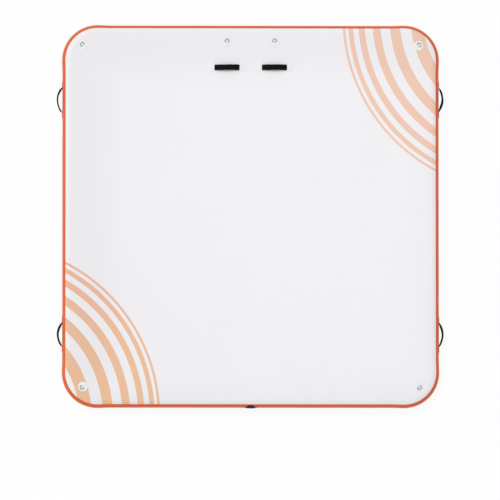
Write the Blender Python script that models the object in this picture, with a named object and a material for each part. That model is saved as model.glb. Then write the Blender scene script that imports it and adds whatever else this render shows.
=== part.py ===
"""Inflatable swim dock: a square drop-stitch air platform with a rolled edge, a glued rail, D-rings, webbing
grab handles and an air valve with a screw cap.

Everything is in metres. X runs across the dock, Y from the valve end (front) to the ladder end (rear), Z up.
The origin is under the middle of the dock, on the surface that it rests on.

Hardware is modelled in its own place: +X out of the surface that carries it, +Y along the piece, +Z across.
Sections are (out, across) pairs, routes are (along, out) pairs and turned profiles are (radius, out) pairs.
"""

import math

import bmesh
import bpy
from mathutils import Matrix, Vector

# Whole dock
DOCK_WIDTH = 3.000
DOCK_LENGTH = 3.050
DOCK_THICKNESS = 0.150
CORNER_RADIUS = 0.280
CLEARANCE = 0.0003
OVERRUN = 0.002

# Air chamber: two sheets with rolled margins, and two bands glued round the edge
EDGE_BULGE = 0.060
SHEET_WALL = 0.0015
INNER_BAND_WALL = 0.0010
OUTER_BAND_WALL = 0.0012
OUTER_BAND_DEPTH = 0.022
CORNER_STEPS = 8
LAP_STEPS = 5
SHOULDER_STEPS = 2
SHEET_EDGE_STEP = 3
INNER_BAND_STEP = 4

# Threads between the sheets, drawn as a few thick bundles
PLY_WALL = 0.0008
CORE_MARGIN = 0.020
BUNDLE_WIDTH = 0.012
BUNDLES_PER_SIDE = 6
BUNDLE_SPREAD_SHARE = 0.90

# D-ring stations
RING_WIRE = 0.0045
RING_BEND = 0.0040
RING_STRAIGHT = 0.0060
RING_LIFT = 0.00065
RING_FORWARD = 0.0020
LOOP_WIDTH = 0.025
LOOP_WALL = 0.0012
LOOP_TAIL = 0.026
LOOP_MARGIN = 0.0010
RING_PATCH_DIAMETER = 0.078
PATCH_WALL = 0.0012
WINDOW_BACK = 0.0070
WINDOW_FRONT = 0.0075
CORNER_RING_INSET = 0.164
LADDER_RING_INSET = 0.136

# Grab handles
STRAP_WALL = 0.0020
STRAP_TAIL = 0.034
STRAP_MOUTH = 0.0030
BOW_STEPS = 12
BOW_STEEPNESS_SHARE = 1.25
SLEEVE_WALL = 0.0032
HANDLE_PATCH_LENGTH = 0.048
HANDLE_PATCH_ROUND = 0.012
HANDLE_PATCH_MARGIN = 0.016
DECK_STRAP_WIDTH = 0.038
DECK_HANDLE_SPAN = 0.194
DECK_HANDLE_RISE = 0.0215
DECK_SLEEVE_STEP = 1
DECK_HANDLE_SPACING = 0.378
DECK_HANDLE_INSET = 0.339
SIDE_STRAP_WIDTH = 0.025
SIDE_HANDLE_SPAN = 0.195
SIDE_HANDLE_RISE = 0.0355
SIDE_SLEEVE_STEP = 1
SIDE_HANDLE_SPACING = 1.875
SIDE_HANDLE_SHIFT = -0.005

# Air valve, in the middle of the front edge
VALVE_SIDES = 24
FLANGE_SIDES = 32
SMALL_SIDES = 12
VALVE_DISC_MARGIN = 0.0215
VALVE_DISC_WALL = 0.0009
GASKET_WALL = 0.0008
FLANGE_WIDTH = 0.0095
FLANGE_WALL = 0.0018
FLANGE_ROUND = 0.0012
BARREL_RADIUS = 0.0240
BARREL_LIP = 0.0025
BARREL_STEP_DEPTH = 0.018
BARREL_TAIL_WALL = 0.0045
BARREL_DEPTH = 0.028
RECESS_DEPTH = 0.0038
BORE_RADIUS = 0.0125
BORE_CHAMFER = 0.0007
SOCKET_DEPTH = 0.010
AIRWAY_RELIEF = 0.0020
SEAT_LIP = 0.0015
HUB_WALL = 0.0025
HUB_DEPTH = 0.018
HUB_LENGTH = 0.004
SPIDER_ARM_WIDTH = 0.0024
SPIDER_ARMS = 3
NUT_WALL = 0.0067
NUT_LENGTH = 0.0125
NUT_CHAMFER = 0.0015
NUT_GRIPS = 8
NUT_GRIP_RADIUS = 0.0025
STEM_RADIUS = 0.0026
BUTTON_RADIUS = 0.0060
BUTTON_LENGTH = 0.0025
BUTTON_DEPTH = 0.005
BUTTON_CHAMFER = 0.0008
BUTTON_SLOT_WIDTH = 0.0012
BUTTON_SLOT_DEPTH = 0.0010
RETAINER_RADIUS = 0.0075
RETAINER_WALL = 0.0014
DIAPHRAGM_OVERLAP = 0.0028
DIAPHRAGM_WALL = 0.0016
SPRING_PLAY = 0.0012
SPRING_WIRE = 0.0008
SPRING_TURNS = 5
SPRING_POINTS_PER_TURN = 8
CAP_WALL = 0.0022
CAP_RIM_WALL = 0.0012
CAP_DOME = 0.0012
PLUG_WALL = 0.0022
PLUG_LENGTH = 0.006
CAP_GRIP_LENGTH = 0.030
CAP_GRIP_WIDTH = 0.0050
CAP_GRIP_HEIGHT = 0.0026
SEAL_WALL = 0.0009
SEAL_WIDTH = 0.0012
SEAL_SETBACK = 0.0012
TETHER_WALL = 0.0008
TETHER_STRAP_WALL = 0.0006
TETHER_WIDTH = 0.0070
TETHER_RING_SHARE = 0.54
TETHER_STUD_RADIUS = 0.0017
TETHER_EYELET_WALL = 0.0022
NOTCH_MARGIN = 0.0017

# Sizes that follow from the ones above
MID_HEIGHT = DOCK_THICKNESS / 2
BAND_STACK = CLEARANCE + INNER_BAND_WALL + CLEARANCE + OUTER_BAND_WALL
EDGE_REACH = EDGE_BULGE + BAND_STACK
FLAT_HALF_WIDTH = DOCK_WIDTH / 2 - EDGE_REACH
FLAT_HALF_LENGTH = DOCK_LENGTH / 2 - EDGE_REACH
FLAT_CORNER_RADIUS = CORNER_RADIUS - EDGE_REACH
LAP_ANGLE = math.acos(1 - OUTER_BAND_DEPTH / EDGE_BULGE)
LAST_STEP = LAP_STEPS + SHOULDER_STEPS
TURN = 2 * math.pi
RIGHT_SIDE = 0.0
LEFT_SIDE = math.pi
FRONT_SIDE = -math.pi / 2

# Finishes: colour, roughness and metallic value
FINISHES = {
    "white PVC sheet": ((0.88, 0.87, 0.89), 0.45, 0.0),
    "grey PVC sheet": ((0.62, 0.63, 0.65), 0.50, 0.0),
    "orange PVC band": ((0.70, 0.13, 0.03), 0.40, 0.0),
    "white polyester": ((0.80, 0.80, 0.78), 0.90, 0.0),
    "black webbing": ((0.012, 0.011, 0.014), 0.75, 0.0),
    "black neoprene": ((0.010, 0.010, 0.012), 0.85, 0.0),
    "white webbing": ((0.78, 0.78, 0.80), 0.80, 0.0),
    "stainless steel": ((0.60, 0.60, 0.62), 0.22, 1.0),
    "black moulded plastic": ((0.020, 0.022, 0.032), 0.40, 0.0),
    "blue-black moulded plastic": ((0.030, 0.036, 0.070), 0.35, 0.0),
    "black rubber": ((0.014, 0.014, 0.016), 0.70, 0.0),
}


def clear_scene() -> None:
    """Remove every object that the new file starts with."""
    for obj in list(bpy.data.objects):
        bpy.data.objects.remove(obj)


def finish_material(name: str) -> bpy.types.Material:
    """The Principled material of one finish, made once."""
    if name in bpy.data.materials:
        return bpy.data.materials[name]
    colour, roughness, metallic = FINISHES[name]
    material = bpy.data.materials.new(name)
    material.use_nodes = True
    shader = material.node_tree.nodes["Principled BSDF"]
    shader.inputs["Base Color"].default_value = (*colour, 1)
    shader.inputs["Roughness"].default_value = roughness
    shader.inputs["Metallic"].default_value = metallic
    return material


def new_object(bm: bmesh.types.BMesh, name: str) -> bpy.types.Object:
    """Turn a closed bmesh into an object with its faces pointing out."""
    bmesh.ops.recalc_face_normals(bm, faces=bm.faces)
    mesh = bpy.data.meshes.new(name)
    bm.to_mesh(mesh)
    bm.free()
    obj = bpy.data.objects.new(name, mesh)
    bpy.context.collection.objects.link(obj)
    return obj


def piece(shape, name: str, finish: str, place: Matrix):
    """Name a shape, give it its finish and put it in its place."""
    shape.name = name
    shape.data.name = name
    shape.data.materials.clear()
    shape.data.materials.append(finish_material(finish))
    if shape.type == "MESH":
        shape.data.shade_smooth()
        shape.data.set_sharp_from_angle(angle=math.radians(35))
    shape.matrix_world = place
    return shape


def copy_of(shape, name: str, place: Matrix):
    """Another piece with the same mesh, in its own place."""
    twin = bpy.data.objects.new(name, shape.data)
    bpy.context.collection.objects.link(twin)
    twin.matrix_world = place
    return twin


def combine(base, operation: str, *tools):
    """Apply each tool to the base with a Boolean, weld the corners that it leaves together, and remove the tools."""
    for tool in tools:
        modifier = base.modifiers.new(tool.name, "BOOLEAN")
        modifier.operation = operation
        modifier.object = tool
    bpy.context.view_layer.update()
    result = base.evaluated_get(bpy.context.evaluated_depsgraph_get())
    mesh = bpy.data.meshes.new_from_object(result)
    bm = bmesh.new()
    bm.from_mesh(mesh)
    bmesh.ops.remove_doubles(bm, verts=bm.verts, dist=CLEARANCE / 100)
    bmesh.ops.dissolve_degenerate(bm, edges=bm.edges, dist=CLEARANCE / 100)
    bm.to_mesh(mesh)
    bm.free()
    base.modifiers.clear()
    base.data = mesh
    for tool in tools:
        bpy.data.objects.remove(tool)
    return base


def loft(rings, closed=False):
    """Skin from ring to ring: open, with both ends capped, or closed, with the last ring joined to the first."""
    bm = bmesh.new()
    loops = [[bm.verts.new(point) for point in ring] for ring in rings]
    pairs = list(zip(loops, loops[1:]))
    if closed:
        pairs.append((loops[-1], loops[0]))
    else:
        bm.faces.new(loops[0])
        bm.faces.new(loops[-1])
    for near, far in pairs:
        for i in range(len(near)):
            bm.faces.new((near[i - 1], near[i], far[i], far[i - 1]))
    return new_object(bm, "loft")


def turned(profile, sides: int, closed=False, along=0.0):
    """Spin a (radius, out) profile about the +X axis: closed for a ring, or open with both ends on the axis.

    A flat side, not a corner, faces along and across.
    """
    bm = bmesh.new()
    verts = [bm.verts.new((out, radius, 0)) for radius, out in profile]
    edges = [bm.edges.new(pair) for pair in zip(verts, verts[1:])]
    if closed:
        edges.append(bm.edges.new((verts[-1], verts[0])))
    bmesh.ops.spin(bm, geom=verts + edges, cent=(0, 0, 0), axis=(1, 0, 0), angle=TURN, steps=sides)
    bmesh.ops.remove_doubles(bm, verts=bm.verts, dist=CLEARANCE / 100)
    half_side = Matrix.Rotation(TURN / sides / 2, 4, "X")
    bmesh.ops.transform(bm, matrix=Matrix.Translation((0, along, 0)) @ half_side, verts=bm.verts)
    return new_object(bm, "turned")


def ring_solid(inner: float, outer: float, low: float, high: float, sides: int, along=0.0):
    """A plain washer or tube between two radii."""
    profile = [(inner, low), (outer, low), (outer, high), (inner, high)]
    return turned(profile, sides, closed=True, along=along)


def circle(radius: float, sides: int):
    """Points (along, across) of a round outline, turned as a turned profile is."""
    angles = [TURN * (i + 1 / 2) / sides for i in range(sides)]
    return [(radius * math.cos(angle), radius * math.sin(angle)) for angle in angles]


def rounded_rectangle(start: float, end: float, width: float, radius: float, steps: int):
    """Points (along, across) of a rectangle from start to end along, with round corners."""
    points = []
    for quarter in range(4):
        along = end - radius if quarter in (0, 3) else start + radius
        across = (width / 2 - radius) * (1 if quarter < 2 else -1)
        for step in range(steps + 1):
            angle = (quarter + step / steps) * math.pi / 2
            points.append((along + radius * math.cos(angle), across + radius * math.sin(angle)))
    return points


def prism(outline, low: float, high: float):
    """A flat plate: an (along, across) outline extruded from low to high above the surface."""
    bm = bmesh.new()
    face = bm.faces.new([bm.verts.new((low, along, across)) for along, across in outline])
    grown = bmesh.ops.extrude_face_region(bm, geom=[face], use_keep_orig=True)
    top = [item for item in grown["geom"] if isinstance(item, bmesh.types.BMVert)]
    bmesh.ops.translate(bm, verts=top, vec=(high - low, 0, 0))
    return new_object(bm, "prism")


def block(start: float, end: float, width: float, low: float, high: float):
    """A square-cornered block from start to end along and low to high out."""
    half = width / 2
    return prism([(end, half), (start, half), (start, -half), (end, -half)], low, high)


def miters(route):
    """The route's normals, lengthened at each bend so that a section keeps its thickness there."""
    normals = []
    for i, point in enumerate(route):
        before = (point - route[max(i - 1, 0)]).normalized()
        after = (route[min(i + 1, len(route) - 1)] - point).normalized()
        if i == 0:
            before = after
        if i == len(route) - 1:
            after = before
        along = (before + after).normalized()
        normals.append(Vector((-along.y, along.x)) / along.dot(after))
    return normals


def carried(route, section):
    """The rings of an (out, across) section carried along an (along, out) route."""
    rings = []
    for point, normal in zip(route, miters(route)):
        rings.append([(point.y + normal.y * out, point.x + normal.x * out, across) for out, across in section])
    return rings


def flat_section(thickness: float, width: float):
    """The four corners of a flat strap."""
    return [(thickness / 2 * a, width / 2 * b) for a, b in ((1, 1), (1, -1), (-1, -1), (-1, 1))]


# Air chamber


def edge_angle(step: int) -> float:
    """Angle of a station of the edge section, from the outermost line (0) up to the flat deck."""
    lap = LAP_ANGLE * min(abs(step), LAP_STEPS) / LAP_STEPS
    shoulder = (math.pi / 2 - LAP_ANGLE) * max(abs(step) - LAP_STEPS, 0) / SHOULDER_STEPS
    return math.copysign(lap + shoulder, step)


def edge_point(step: int, stand_off: float):
    """A point (reach, height) of the half-ellipse edge, stand_off outside the sheets' outer face.

    Reach counts outwards from the end of the flat deck, height from mid-thickness.
    """
    cosine, sine = math.cos(edge_angle(step)), math.sin(edge_angle(step))
    normal = Vector((cosine / EDGE_BULGE, sine / MID_HEIGHT)).normalized()
    return EDGE_BULGE * cosine + stand_off * normal.x, MID_HEIGHT * sine + stand_off * normal.y


def edge_drop(height: float) -> float:
    """How far the edge curves back at a height above or below its outermost line."""
    return EDGE_BULGE * (1 - math.sqrt(1 - (height / MID_HEIGHT) ** 2))


def perimeter(reach: float, height: float):
    """The dock's rounded outline, reach outside the flat deck, at a height from mid-thickness."""
    points = []
    for quarter in range(4):
        centre_x = (FLAT_HALF_WIDTH - FLAT_CORNER_RADIUS) * (1 if quarter in (0, 3) else -1)
        centre_y = (FLAT_HALF_LENGTH - FLAT_CORNER_RADIUS) * (1 if quarter < 2 else -1)
        for step in range(CORNER_STEPS + 1):
            angle = (quarter + step / CORNER_STEPS) * math.pi / 2
            x = centre_x + (FLAT_CORNER_RADIUS + reach) * math.cos(angle)
            y = centre_y + (FLAT_CORNER_RADIUS + reach) * math.sin(angle)
            points.append((x, y, MID_HEIGHT + height))
    return points


def rolled_sheet(side: int):
    """A flat sheet with its margin rolled over the edge: side is 1 for the deck and -1 for the bottom."""
    steps = range(side * LAST_STEP, side * (SHEET_EDGE_STEP - 1), -side)
    outside = [perimeter(*edge_point(step, 0)) for step in steps]
    inside = [perimeter(*edge_point(step, -SHEET_WALL)) for step in steps]
    return loft(outside + inside[::-1])


def rail_band(last_step: int, low: float, wall: float, lapped: bool):
    """A band round the edge. A lapped band comes down onto the sheets at its two glued edges."""
    steps = range(-last_step, last_step + 1)
    lows = [CLEARANCE if lapped and abs(step) == last_step else low for step in steps]
    outside = [perimeter(*edge_point(step, foot + wall)) for step, foot in zip(steps, lows)]
    inside = [perimeter(*edge_point(step, foot)) for step, foot in zip(steps, lows)]
    return loft(outside + inside[::-1], closed=True)


def drop_stitch_core():
    """The two woven plies inside the sheets, joined by bundles of threads into one fabric."""
    top = MID_HEIGHT - SHEET_WALL - CLEARANCE
    plies = [loft([perimeter(-CORE_MARGIN, side * (top - PLY_WALL)), perimeter(-CORE_MARGIN, side * top)])
             for side in (1, -1)]
    bm = bmesh.new()
    for i in range(BUNDLES_PER_SIDE):
        for j in range(BUNDLES_PER_SIDE):
            share_x = BUNDLE_SPREAD_SHARE * (2 * i / (BUNDLES_PER_SIDE - 1) - 1)
            share_y = BUNDLE_SPREAD_SHARE * (2 * j / (BUNDLES_PER_SIDE - 1) - 1)
            spot = Matrix.Translation((share_x * FLAT_HALF_WIDTH, share_y * FLAT_HALF_LENGTH, MID_HEIGHT))
            size = Matrix.Diagonal((BUNDLE_WIDTH, BUNDLE_WIDTH, 2 * top - PLY_WALL, 1))
            bmesh.ops.create_cube(bm, size=1, matrix=spot @ size)
    return combine(new_object(bm, "threads"), "UNION", *plies)


def build_chamber() -> None:
    """The sheets, the threads between them and the two bands that close the edge."""
    here = Matrix.Identity(4)
    front = on_side(FRONT_SIDE, 0)
    inner_band = rail_band(INNER_BAND_STEP, CLEARANCE, INNER_BAND_WALL, lapped=False)
    outer_band = rail_band(LAP_STEPS, BAND_STACK - OUTER_BAND_WALL, OUTER_BAND_WALL, lapped=True)
    for band in (inner_band, outer_band):
        hole = prism(circle(BARREL_RADIUS + CLEARANCE, VALVE_SIDES), -EDGE_REACH, OVERRUN)
        hole.matrix_world = front
        combine(band, "DIFFERENCE", hole)
    piece(rolled_sheet(1), "deck_sheet", "white PVC sheet", here)
    piece(rolled_sheet(-1), "bottom_sheet", "grey PVC sheet", here)
    piece(drop_stitch_core(), "drop_stitch_core", "white polyester", here)
    piece(inner_band, "inner_rail_band", "white PVC sheet", here)
    piece(outer_band, "outer_rail_band", "orange PVC band", here)


# Places for the hardware


def on_side(side: float, along: float) -> Matrix:
    """A place on a straight edge's outermost line. side is the angle of its outward direction."""
    half = DOCK_WIDTH / 2 if side in (RIGHT_SIDE, LEFT_SIDE) else DOCK_LENGTH / 2
    return Matrix.Rotation(side, 4, "Z") @ Matrix.Translation((half, along, MID_HEIGHT))


def on_deck(x: float, y: float, heading: float) -> Matrix:
    """A place on the deck, with +Y along a heading counted from the world's +X."""
    up = Vector((0, 0, 1))
    along = Vector((math.cos(heading), math.sin(heading), 0))
    axes = Matrix((up, along, up.cross(along))).transposed().to_4x4()
    return Matrix.Translation((x, y, DOCK_THICKNESS)) @ axes


def edge_wall(low: float, high: float, length: float):
    """A length of wall that follows a straight edge's curve, from low to high off the rail's outer face."""
    steps = range(-LAP_STEPS, LAP_STEPS + 1)
    section = [edge_point(step, BAND_STACK + high) for step in steps]
    section += [edge_point(step, BAND_STACK + low) for step in reversed(steps)]
    return loft([[(reach - EDGE_REACH, along, height) for reach, height in section]
                 for along in (-length / 2, length / 2)])


# D-ring stations

RING_HALF_WIDTH = LOOP_WIDTH / 2 + RING_BEND
BAR_HEIGHT = CLEARANCE + PATCH_WALL + RING_LIFT + RING_WIRE / 2
RING_COVER_TOP = CLEARANCE + 2 * (LOOP_WALL + CLEARANCE) + PATCH_WALL


def ring_patch():
    """A round patch with a raised cover over the loop's two tails, and a window where the loop comes out."""
    pocket_width = LOOP_WIDTH + 2 * CLEARANCE
    cover_end = LOOP_TAIL + CLEARANCE + PATCH_WALL
    cover = rounded_rectangle(-cover_end, CLEARANCE - WINDOW_BACK + OVERRUN, pocket_width + 2 * PATCH_WALL,
                              PATCH_WALL, 1)
    plate = prism(circle(RING_PATCH_DIAMETER / 2, 2 * SMALL_SIDES), CLEARANCE, CLEARANCE + PATCH_WALL)
    combine(plate, "UNION", prism(cover, CLEARANCE, RING_COVER_TOP))
    pocket = block(-LOOP_TAIL - CLEARANCE, WINDOW_FRONT, pocket_width, -OVERRUN, RING_COVER_TOP - PATCH_WALL)
    window = block(-WINDOW_BACK, WINDOW_FRONT, pocket_width, -OVERRUN, RING_COVER_TOP + OVERRUN)
    return combine(plate, "DIFFERENCE", pocket, window)


def loop_route():
    """The webbing's middle line: out along the deck, round the ring's bar and back over its own tail."""
    low = CLEARANCE + LOOP_WALL / 2
    high = low + LOOP_WALL + CLEARANCE
    steps = 5
    swing = math.radians(215)
    turn_radius = (RING_WIRE / 2 + CLEARANCE + LOOP_WALL / 2) / math.cos(swing / steps / 2)
    route = [Vector((-LOOP_TAIL, low)), Vector((RING_FORWARD - turn_radius, low))]
    for step in range(steps + 1):
        angle = swing * step / steps - math.pi / 2
        route.append(Vector((RING_FORWARD + turn_radius * math.cos(angle), BAR_HEIGHT + turn_radius * math.sin(angle))))
    route += [Vector((LOOP_MARGIN - WINDOW_BACK, high)), Vector((-LOOP_TAIL, high))]
    return route


def d_ring():
    """A bent steel D with its bar on the axis it swings about."""
    points = []
    for side in (1, -1):
        bend = [(RING_BEND * (1 - math.cos(angle)), side * (LOOP_WIDTH / 2 + RING_BEND * math.sin(angle)))
                for angle in (0, math.pi / 4, math.pi / 2)]
        points += bend if side > 0 else bend[::-1]
        if side > 0:
            arc = [math.pi * i / 8 for i in range(9)]
            points += [(RING_STRAIGHT + RING_HALF_WIDTH * math.sin(angle), RING_HALF_WIDTH * math.cos(angle))
                       for angle in arc]
    curve = bpy.data.curves.new("d_ring", "CURVE")
    curve.dimensions = "3D"
    curve.bevel_depth = RING_WIRE / 2
    curve.bevel_resolution = 1
    spline = curve.splines.new("POLY")
    spline.points.add(len(points) - 1)
    for spot, (along, across) in zip(spline.points, points):
        spot.co = (0, along, across, 1)
    spline.use_cyclic_u = True
    ring = bpy.data.objects.new("d_ring", curve)
    bpy.context.collection.objects.link(ring)
    return ring


def build_ring_stations() -> None:
    """Four corner stations that face their corners, and two at the rear edge for a ladder."""
    corner_x = DOCK_WIDTH / 2 - CORNER_RING_INSET
    corner_y = DOCK_LENGTH / 2 - CORNER_RING_INSET
    stations = {}
    for end, sign_y in (("rear", 1), ("front", -1)):
        for side, sign_x in (("left", -1), ("right", 1)):
            heading = math.atan2(sign_y, sign_x)
            stations[f"{end}_{side}"] = on_deck(sign_x * corner_x, sign_y * corner_y, heading)
    for side, sign_x in (("left", -1), ("right", 1)):
        ladder_y = DOCK_LENGTH / 2 - LADDER_RING_INSET
        stations[f"ladder_{side}"] = on_deck(sign_x * DECK_HANDLE_SPACING / 2, ladder_y, math.pi / 2)
    first = None
    for name, place in stations.items():
        bar = place @ Matrix.Translation((BAR_HEIGHT, RING_FORWARD, 0))
        if first is None:
            loop = loft(carried(loop_route(), flat_section(LOOP_WALL, LOOP_WIDTH)))
            first = (piece(ring_patch(), f"ring_patch_{name}", "white PVC sheet", place),
                     piece(loop, f"ring_loop_{name}", "white webbing", place),
                     piece(d_ring(), f"d_ring_{name}", "stainless steel", bar))
            continue
        copy_of(first[0], f"ring_patch_{name}", place)
        copy_of(first[1], f"ring_loop_{name}", place)
        copy_of(first[2], f"d_ring_{name}", bar)


# Grab handles

HANDLE_COVER_TOP = CLEARANCE + STRAP_WALL + CLEARANCE + PATCH_WALL


def strap_route(span: float, rise: float):
    """The strap's middle line: a tail on the surface, the bow and the other tail."""
    low = CLEARANCE + STRAP_WALL / 2
    end = span / 2 + STRAP_MOUTH + STRAP_TAIL
    route = [Vector((-end, low))]
    for step in range(BOW_STEPS + 1):
        angle = math.pi * step / BOW_STEPS
        height = max(math.sin(angle), 0) ** BOW_STEEPNESS_SHARE
        route.append(Vector((-span / 2 * math.cos(angle), low + rise * height)))
    route.append(Vector((end, low)))
    return route


def padded_sleeve(route, strap_width: float, first_step: int):
    """A soft tube round the strap's bow, with thin round edges."""
    half_wall = STRAP_WALL / 2 + CLEARANCE
    half_width = strap_width / 2 + CLEARANCE
    half_thick = half_wall + SLEEVE_WALL
    half_flat = half_width
    half_wide = half_width + SLEEVE_WALL
    outer = [(half_thick, -half_flat), (half_thick, half_flat), (0, half_wide),
             (-half_thick, half_flat), (-half_thick, -half_flat), (0, -half_wide)]
    inner = [(half_wall, -half_width), (half_wall, half_width), (0, half_width),
             (-half_wall, half_width), (-half_wall, -half_width), (0, -half_width)]
    covered = slice(first_step + 1, BOW_STEPS + 2 - first_step)
    return loft(carried(route, outer)[covered] + carried(route, inner)[covered][::-1], closed=True)


def handle_patch(strap_width: float, on_edge: bool):
    """An end patch: a plate glued to the surface, with a raised cover over the strap's tail, open at its mouth.

    The mouth is at the origin and faces +Y. On the edge, the plate follows the edge's curve.
    """
    pocket_width = strap_width + 2 * CLEARANCE
    width = pocket_width + 2 * HANDLE_PATCH_MARGIN
    plate_outline = rounded_rectangle(-HANDLE_PATCH_LENGTH, 0, width, HANDLE_PATCH_ROUND, 3)
    cover_end = STRAP_TAIL + CLEARANCE + PATCH_WALL
    cover_outline = rounded_rectangle(-cover_end, 0, pocket_width + 2 * PATCH_WALL, PATCH_WALL, 1)
    if on_edge:
        deep = -edge_drop(width / 2) - OVERRUN
        length = 2 * (HANDLE_PATCH_LENGTH + OVERRUN)
        plate = prism(plate_outline, deep, HANDLE_COVER_TOP)
        combine(plate, "INTERSECT", edge_wall(CLEARANCE, CLEARANCE + PATCH_WALL, length))
        cover = prism(cover_outline, deep, HANDLE_COVER_TOP)
        combine(cover, "INTERSECT", edge_wall(CLEARANCE, HANDLE_COVER_TOP + OVERRUN, length))
    else:
        deep = -OVERRUN
        plate = prism(plate_outline, CLEARANCE, CLEARANCE + PATCH_WALL)
        cover = prism(cover_outline, CLEARANCE, HANDLE_COVER_TOP)
    combine(plate, "UNION", cover)
    pocket = block(-STRAP_TAIL - CLEARANCE, OVERRUN, pocket_width, deep, HANDLE_COVER_TOP - PATCH_WALL)
    return combine(plate, "DIFFERENCE", pocket)


def build_handle_set(places, kind: str, span: float, rise: float, strap_width: float, sleeve_step: int) -> None:
    """The handles of one kind: for each, a strap, its sleeve and a patch over each of its tails."""
    on_edge = kind == "side"
    route = strap_route(span, rise)
    strap = loft(carried(route, flat_section(STRAP_WALL, strap_width)))
    sleeve = padded_sleeve(route, strap_width, sleeve_step)
    patch = handle_patch(strap_width, on_edge)
    patch_finish = "orange PVC band" if on_edge else "white PVC sheet"
    to_mouth = Matrix.Translation((0, -span / 2 - STRAP_MOUTH, 0))
    turned_round = Matrix.Rotation(math.pi, 4, "X")
    for i, (name, place) in enumerate(places.items()):
        parts = [(strap, "strap", "black webbing", place), (sleeve, "sleeve", "black neoprene", place),
                 (patch, "patch_a", patch_finish, place @ to_mouth)]
        for shape, part, finish, spot in parts:
            full_name = f"{kind}_handle_{name}_{part}"
            if i == 0:
                piece(shape, full_name, finish, spot)
            else:
                copy_of(shape, full_name, spot)
        copy_of(patch, f"{kind}_handle_{name}_patch_b", place @ turned_round @ to_mouth)


def build_handles() -> None:
    """Two handles on the deck at the ladder end, and two on each long edge."""
    deck_y = DOCK_LENGTH / 2 - DECK_HANDLE_INSET
    deck = {side: on_deck(sign * DECK_HANDLE_SPACING / 2, deck_y, 0.0) for side, sign in (("left", -1), ("right", 1))}
    build_handle_set(deck, "deck", DECK_HANDLE_SPAN, DECK_HANDLE_RISE, DECK_STRAP_WIDTH, DECK_SLEEVE_STEP)
    rear_y, front_y = SIDE_HANDLE_SHIFT + SIDE_HANDLE_SPACING / 2, SIDE_HANDLE_SHIFT - SIDE_HANDLE_SPACING / 2
    edge = {"rear_right": on_side(RIGHT_SIDE, rear_y), "front_right": on_side(RIGHT_SIDE, front_y),
            "rear_left": on_side(LEFT_SIDE, -rear_y), "front_left": on_side(LEFT_SIDE, -front_y)}
    build_handle_set(edge, "side", SIDE_HANDLE_SPAN, SIDE_HANDLE_RISE, SIDE_STRAP_WIDTH, SIDE_SLEEVE_STEP)


# Air valve: heights are counted out from the rail's outermost line

FLANGE_RADIUS = BARREL_RADIUS + FLANGE_WIDTH
VALVE_DISC_RADIUS = FLANGE_RADIUS + VALVE_DISC_MARGIN
NUT_RADIUS = BARREL_RADIUS + CLEARANCE + NUT_WALL
AIRWAY_RADIUS = BORE_RADIUS + AIRWAY_RELIEF
SEAT_RADIUS = AIRWAY_RADIUS - SEAT_LIP
DIAPHRAGM_RADIUS = SEAT_RADIUS + DIAPHRAGM_OVERLAP
HUB_RADIUS = STEM_RADIUS + CLEARANCE + HUB_WALL
SPRING_RADIUS = STEM_RADIUS + SPRING_PLAY + SPRING_WIRE / 2
DISC_TOP = CLEARANCE + VALVE_DISC_WALL
GASKET_TOP = DISC_TOP + CLEARANCE + GASKET_WALL
FLANGE_BACK = GASKET_TOP + CLEARANCE
FLANGE_FACE = FLANGE_BACK + FLANGE_WALL
BARREL_TOP = FLANGE_FACE - FLANGE_WALL / 4
RECESS_RADIUS = BARREL_RADIUS - BARREL_LIP
RECESS_FLOOR = FLANGE_FACE - RECESS_DEPTH
TETHER_TOP = RECESS_FLOOR + CLEARANCE + TETHER_WALL
CAP_SEAT = TETHER_TOP + CLEARANCE
CAP_RADIUS = RECESS_RADIUS - CLEARANCE
CAP_TOP = CAP_SEAT + CAP_RIM_WALL + CAP_DOME
PLUG_RADIUS = BORE_RADIUS - CLEARANCE
PLUG_END = CAP_SEAT - PLUG_LENGTH
GROOVE_RADIUS = PLUG_RADIUS - SEAL_WALL - CLEARANCE
SEAL_END = PLUG_END + SEAL_SETBACK + CLEARANCE
BUTTON_BACK = -BUTTON_DEPTH - BUTTON_LENGTH
DIAPHRAGM_FRONT = -BARREL_DEPTH - CLEARANCE
DIAPHRAGM_BACK = DIAPHRAGM_FRONT - DIAPHRAGM_WALL
EYELET_HEIGHT = FLANGE_FACE + CLEARANCE + TETHER_WALL / 2
TETHER_RING_WIDTH = TETHER_RING_SHARE * (RECESS_RADIUS - PLUG_RADIUS)
TETHER_STUD_REACH = BARREL_RADIUS + FLANGE_WIDTH / 2
NOTCH_REACH = BARREL_RADIUS + NOTCH_MARGIN


def valve_disc():
    """The round reinforcement disc on the rail, curved as the edge is."""
    disc = ring_solid(BARREL_RADIUS + CLEARANCE, VALVE_DISC_RADIUS, -edge_drop(VALVE_DISC_RADIUS) - OVERRUN,
                      DISC_TOP + OVERRUN, VALVE_SIDES)
    return combine(disc, "INTERSECT", edge_wall(CLEARANCE, DISC_TOP, 2 * (VALVE_DISC_RADIUS + OVERRUN)))


def valve_gasket():
    """The rubber ring between the disc and the flange."""
    ring = ring_solid(BARREL_RADIUS + CLEARANCE, FLANGE_RADIUS - FLANGE_ROUND, -edge_drop(FLANGE_RADIUS) - OVERRUN,
                      GASKET_TOP + OVERRUN, VALVE_SIDES)
    return combine(ring, "INTERSECT", edge_wall(DISC_TOP + CLEARANCE, GASKET_TOP, 2 * (FLANGE_RADIUS + OVERRUN)))


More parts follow.
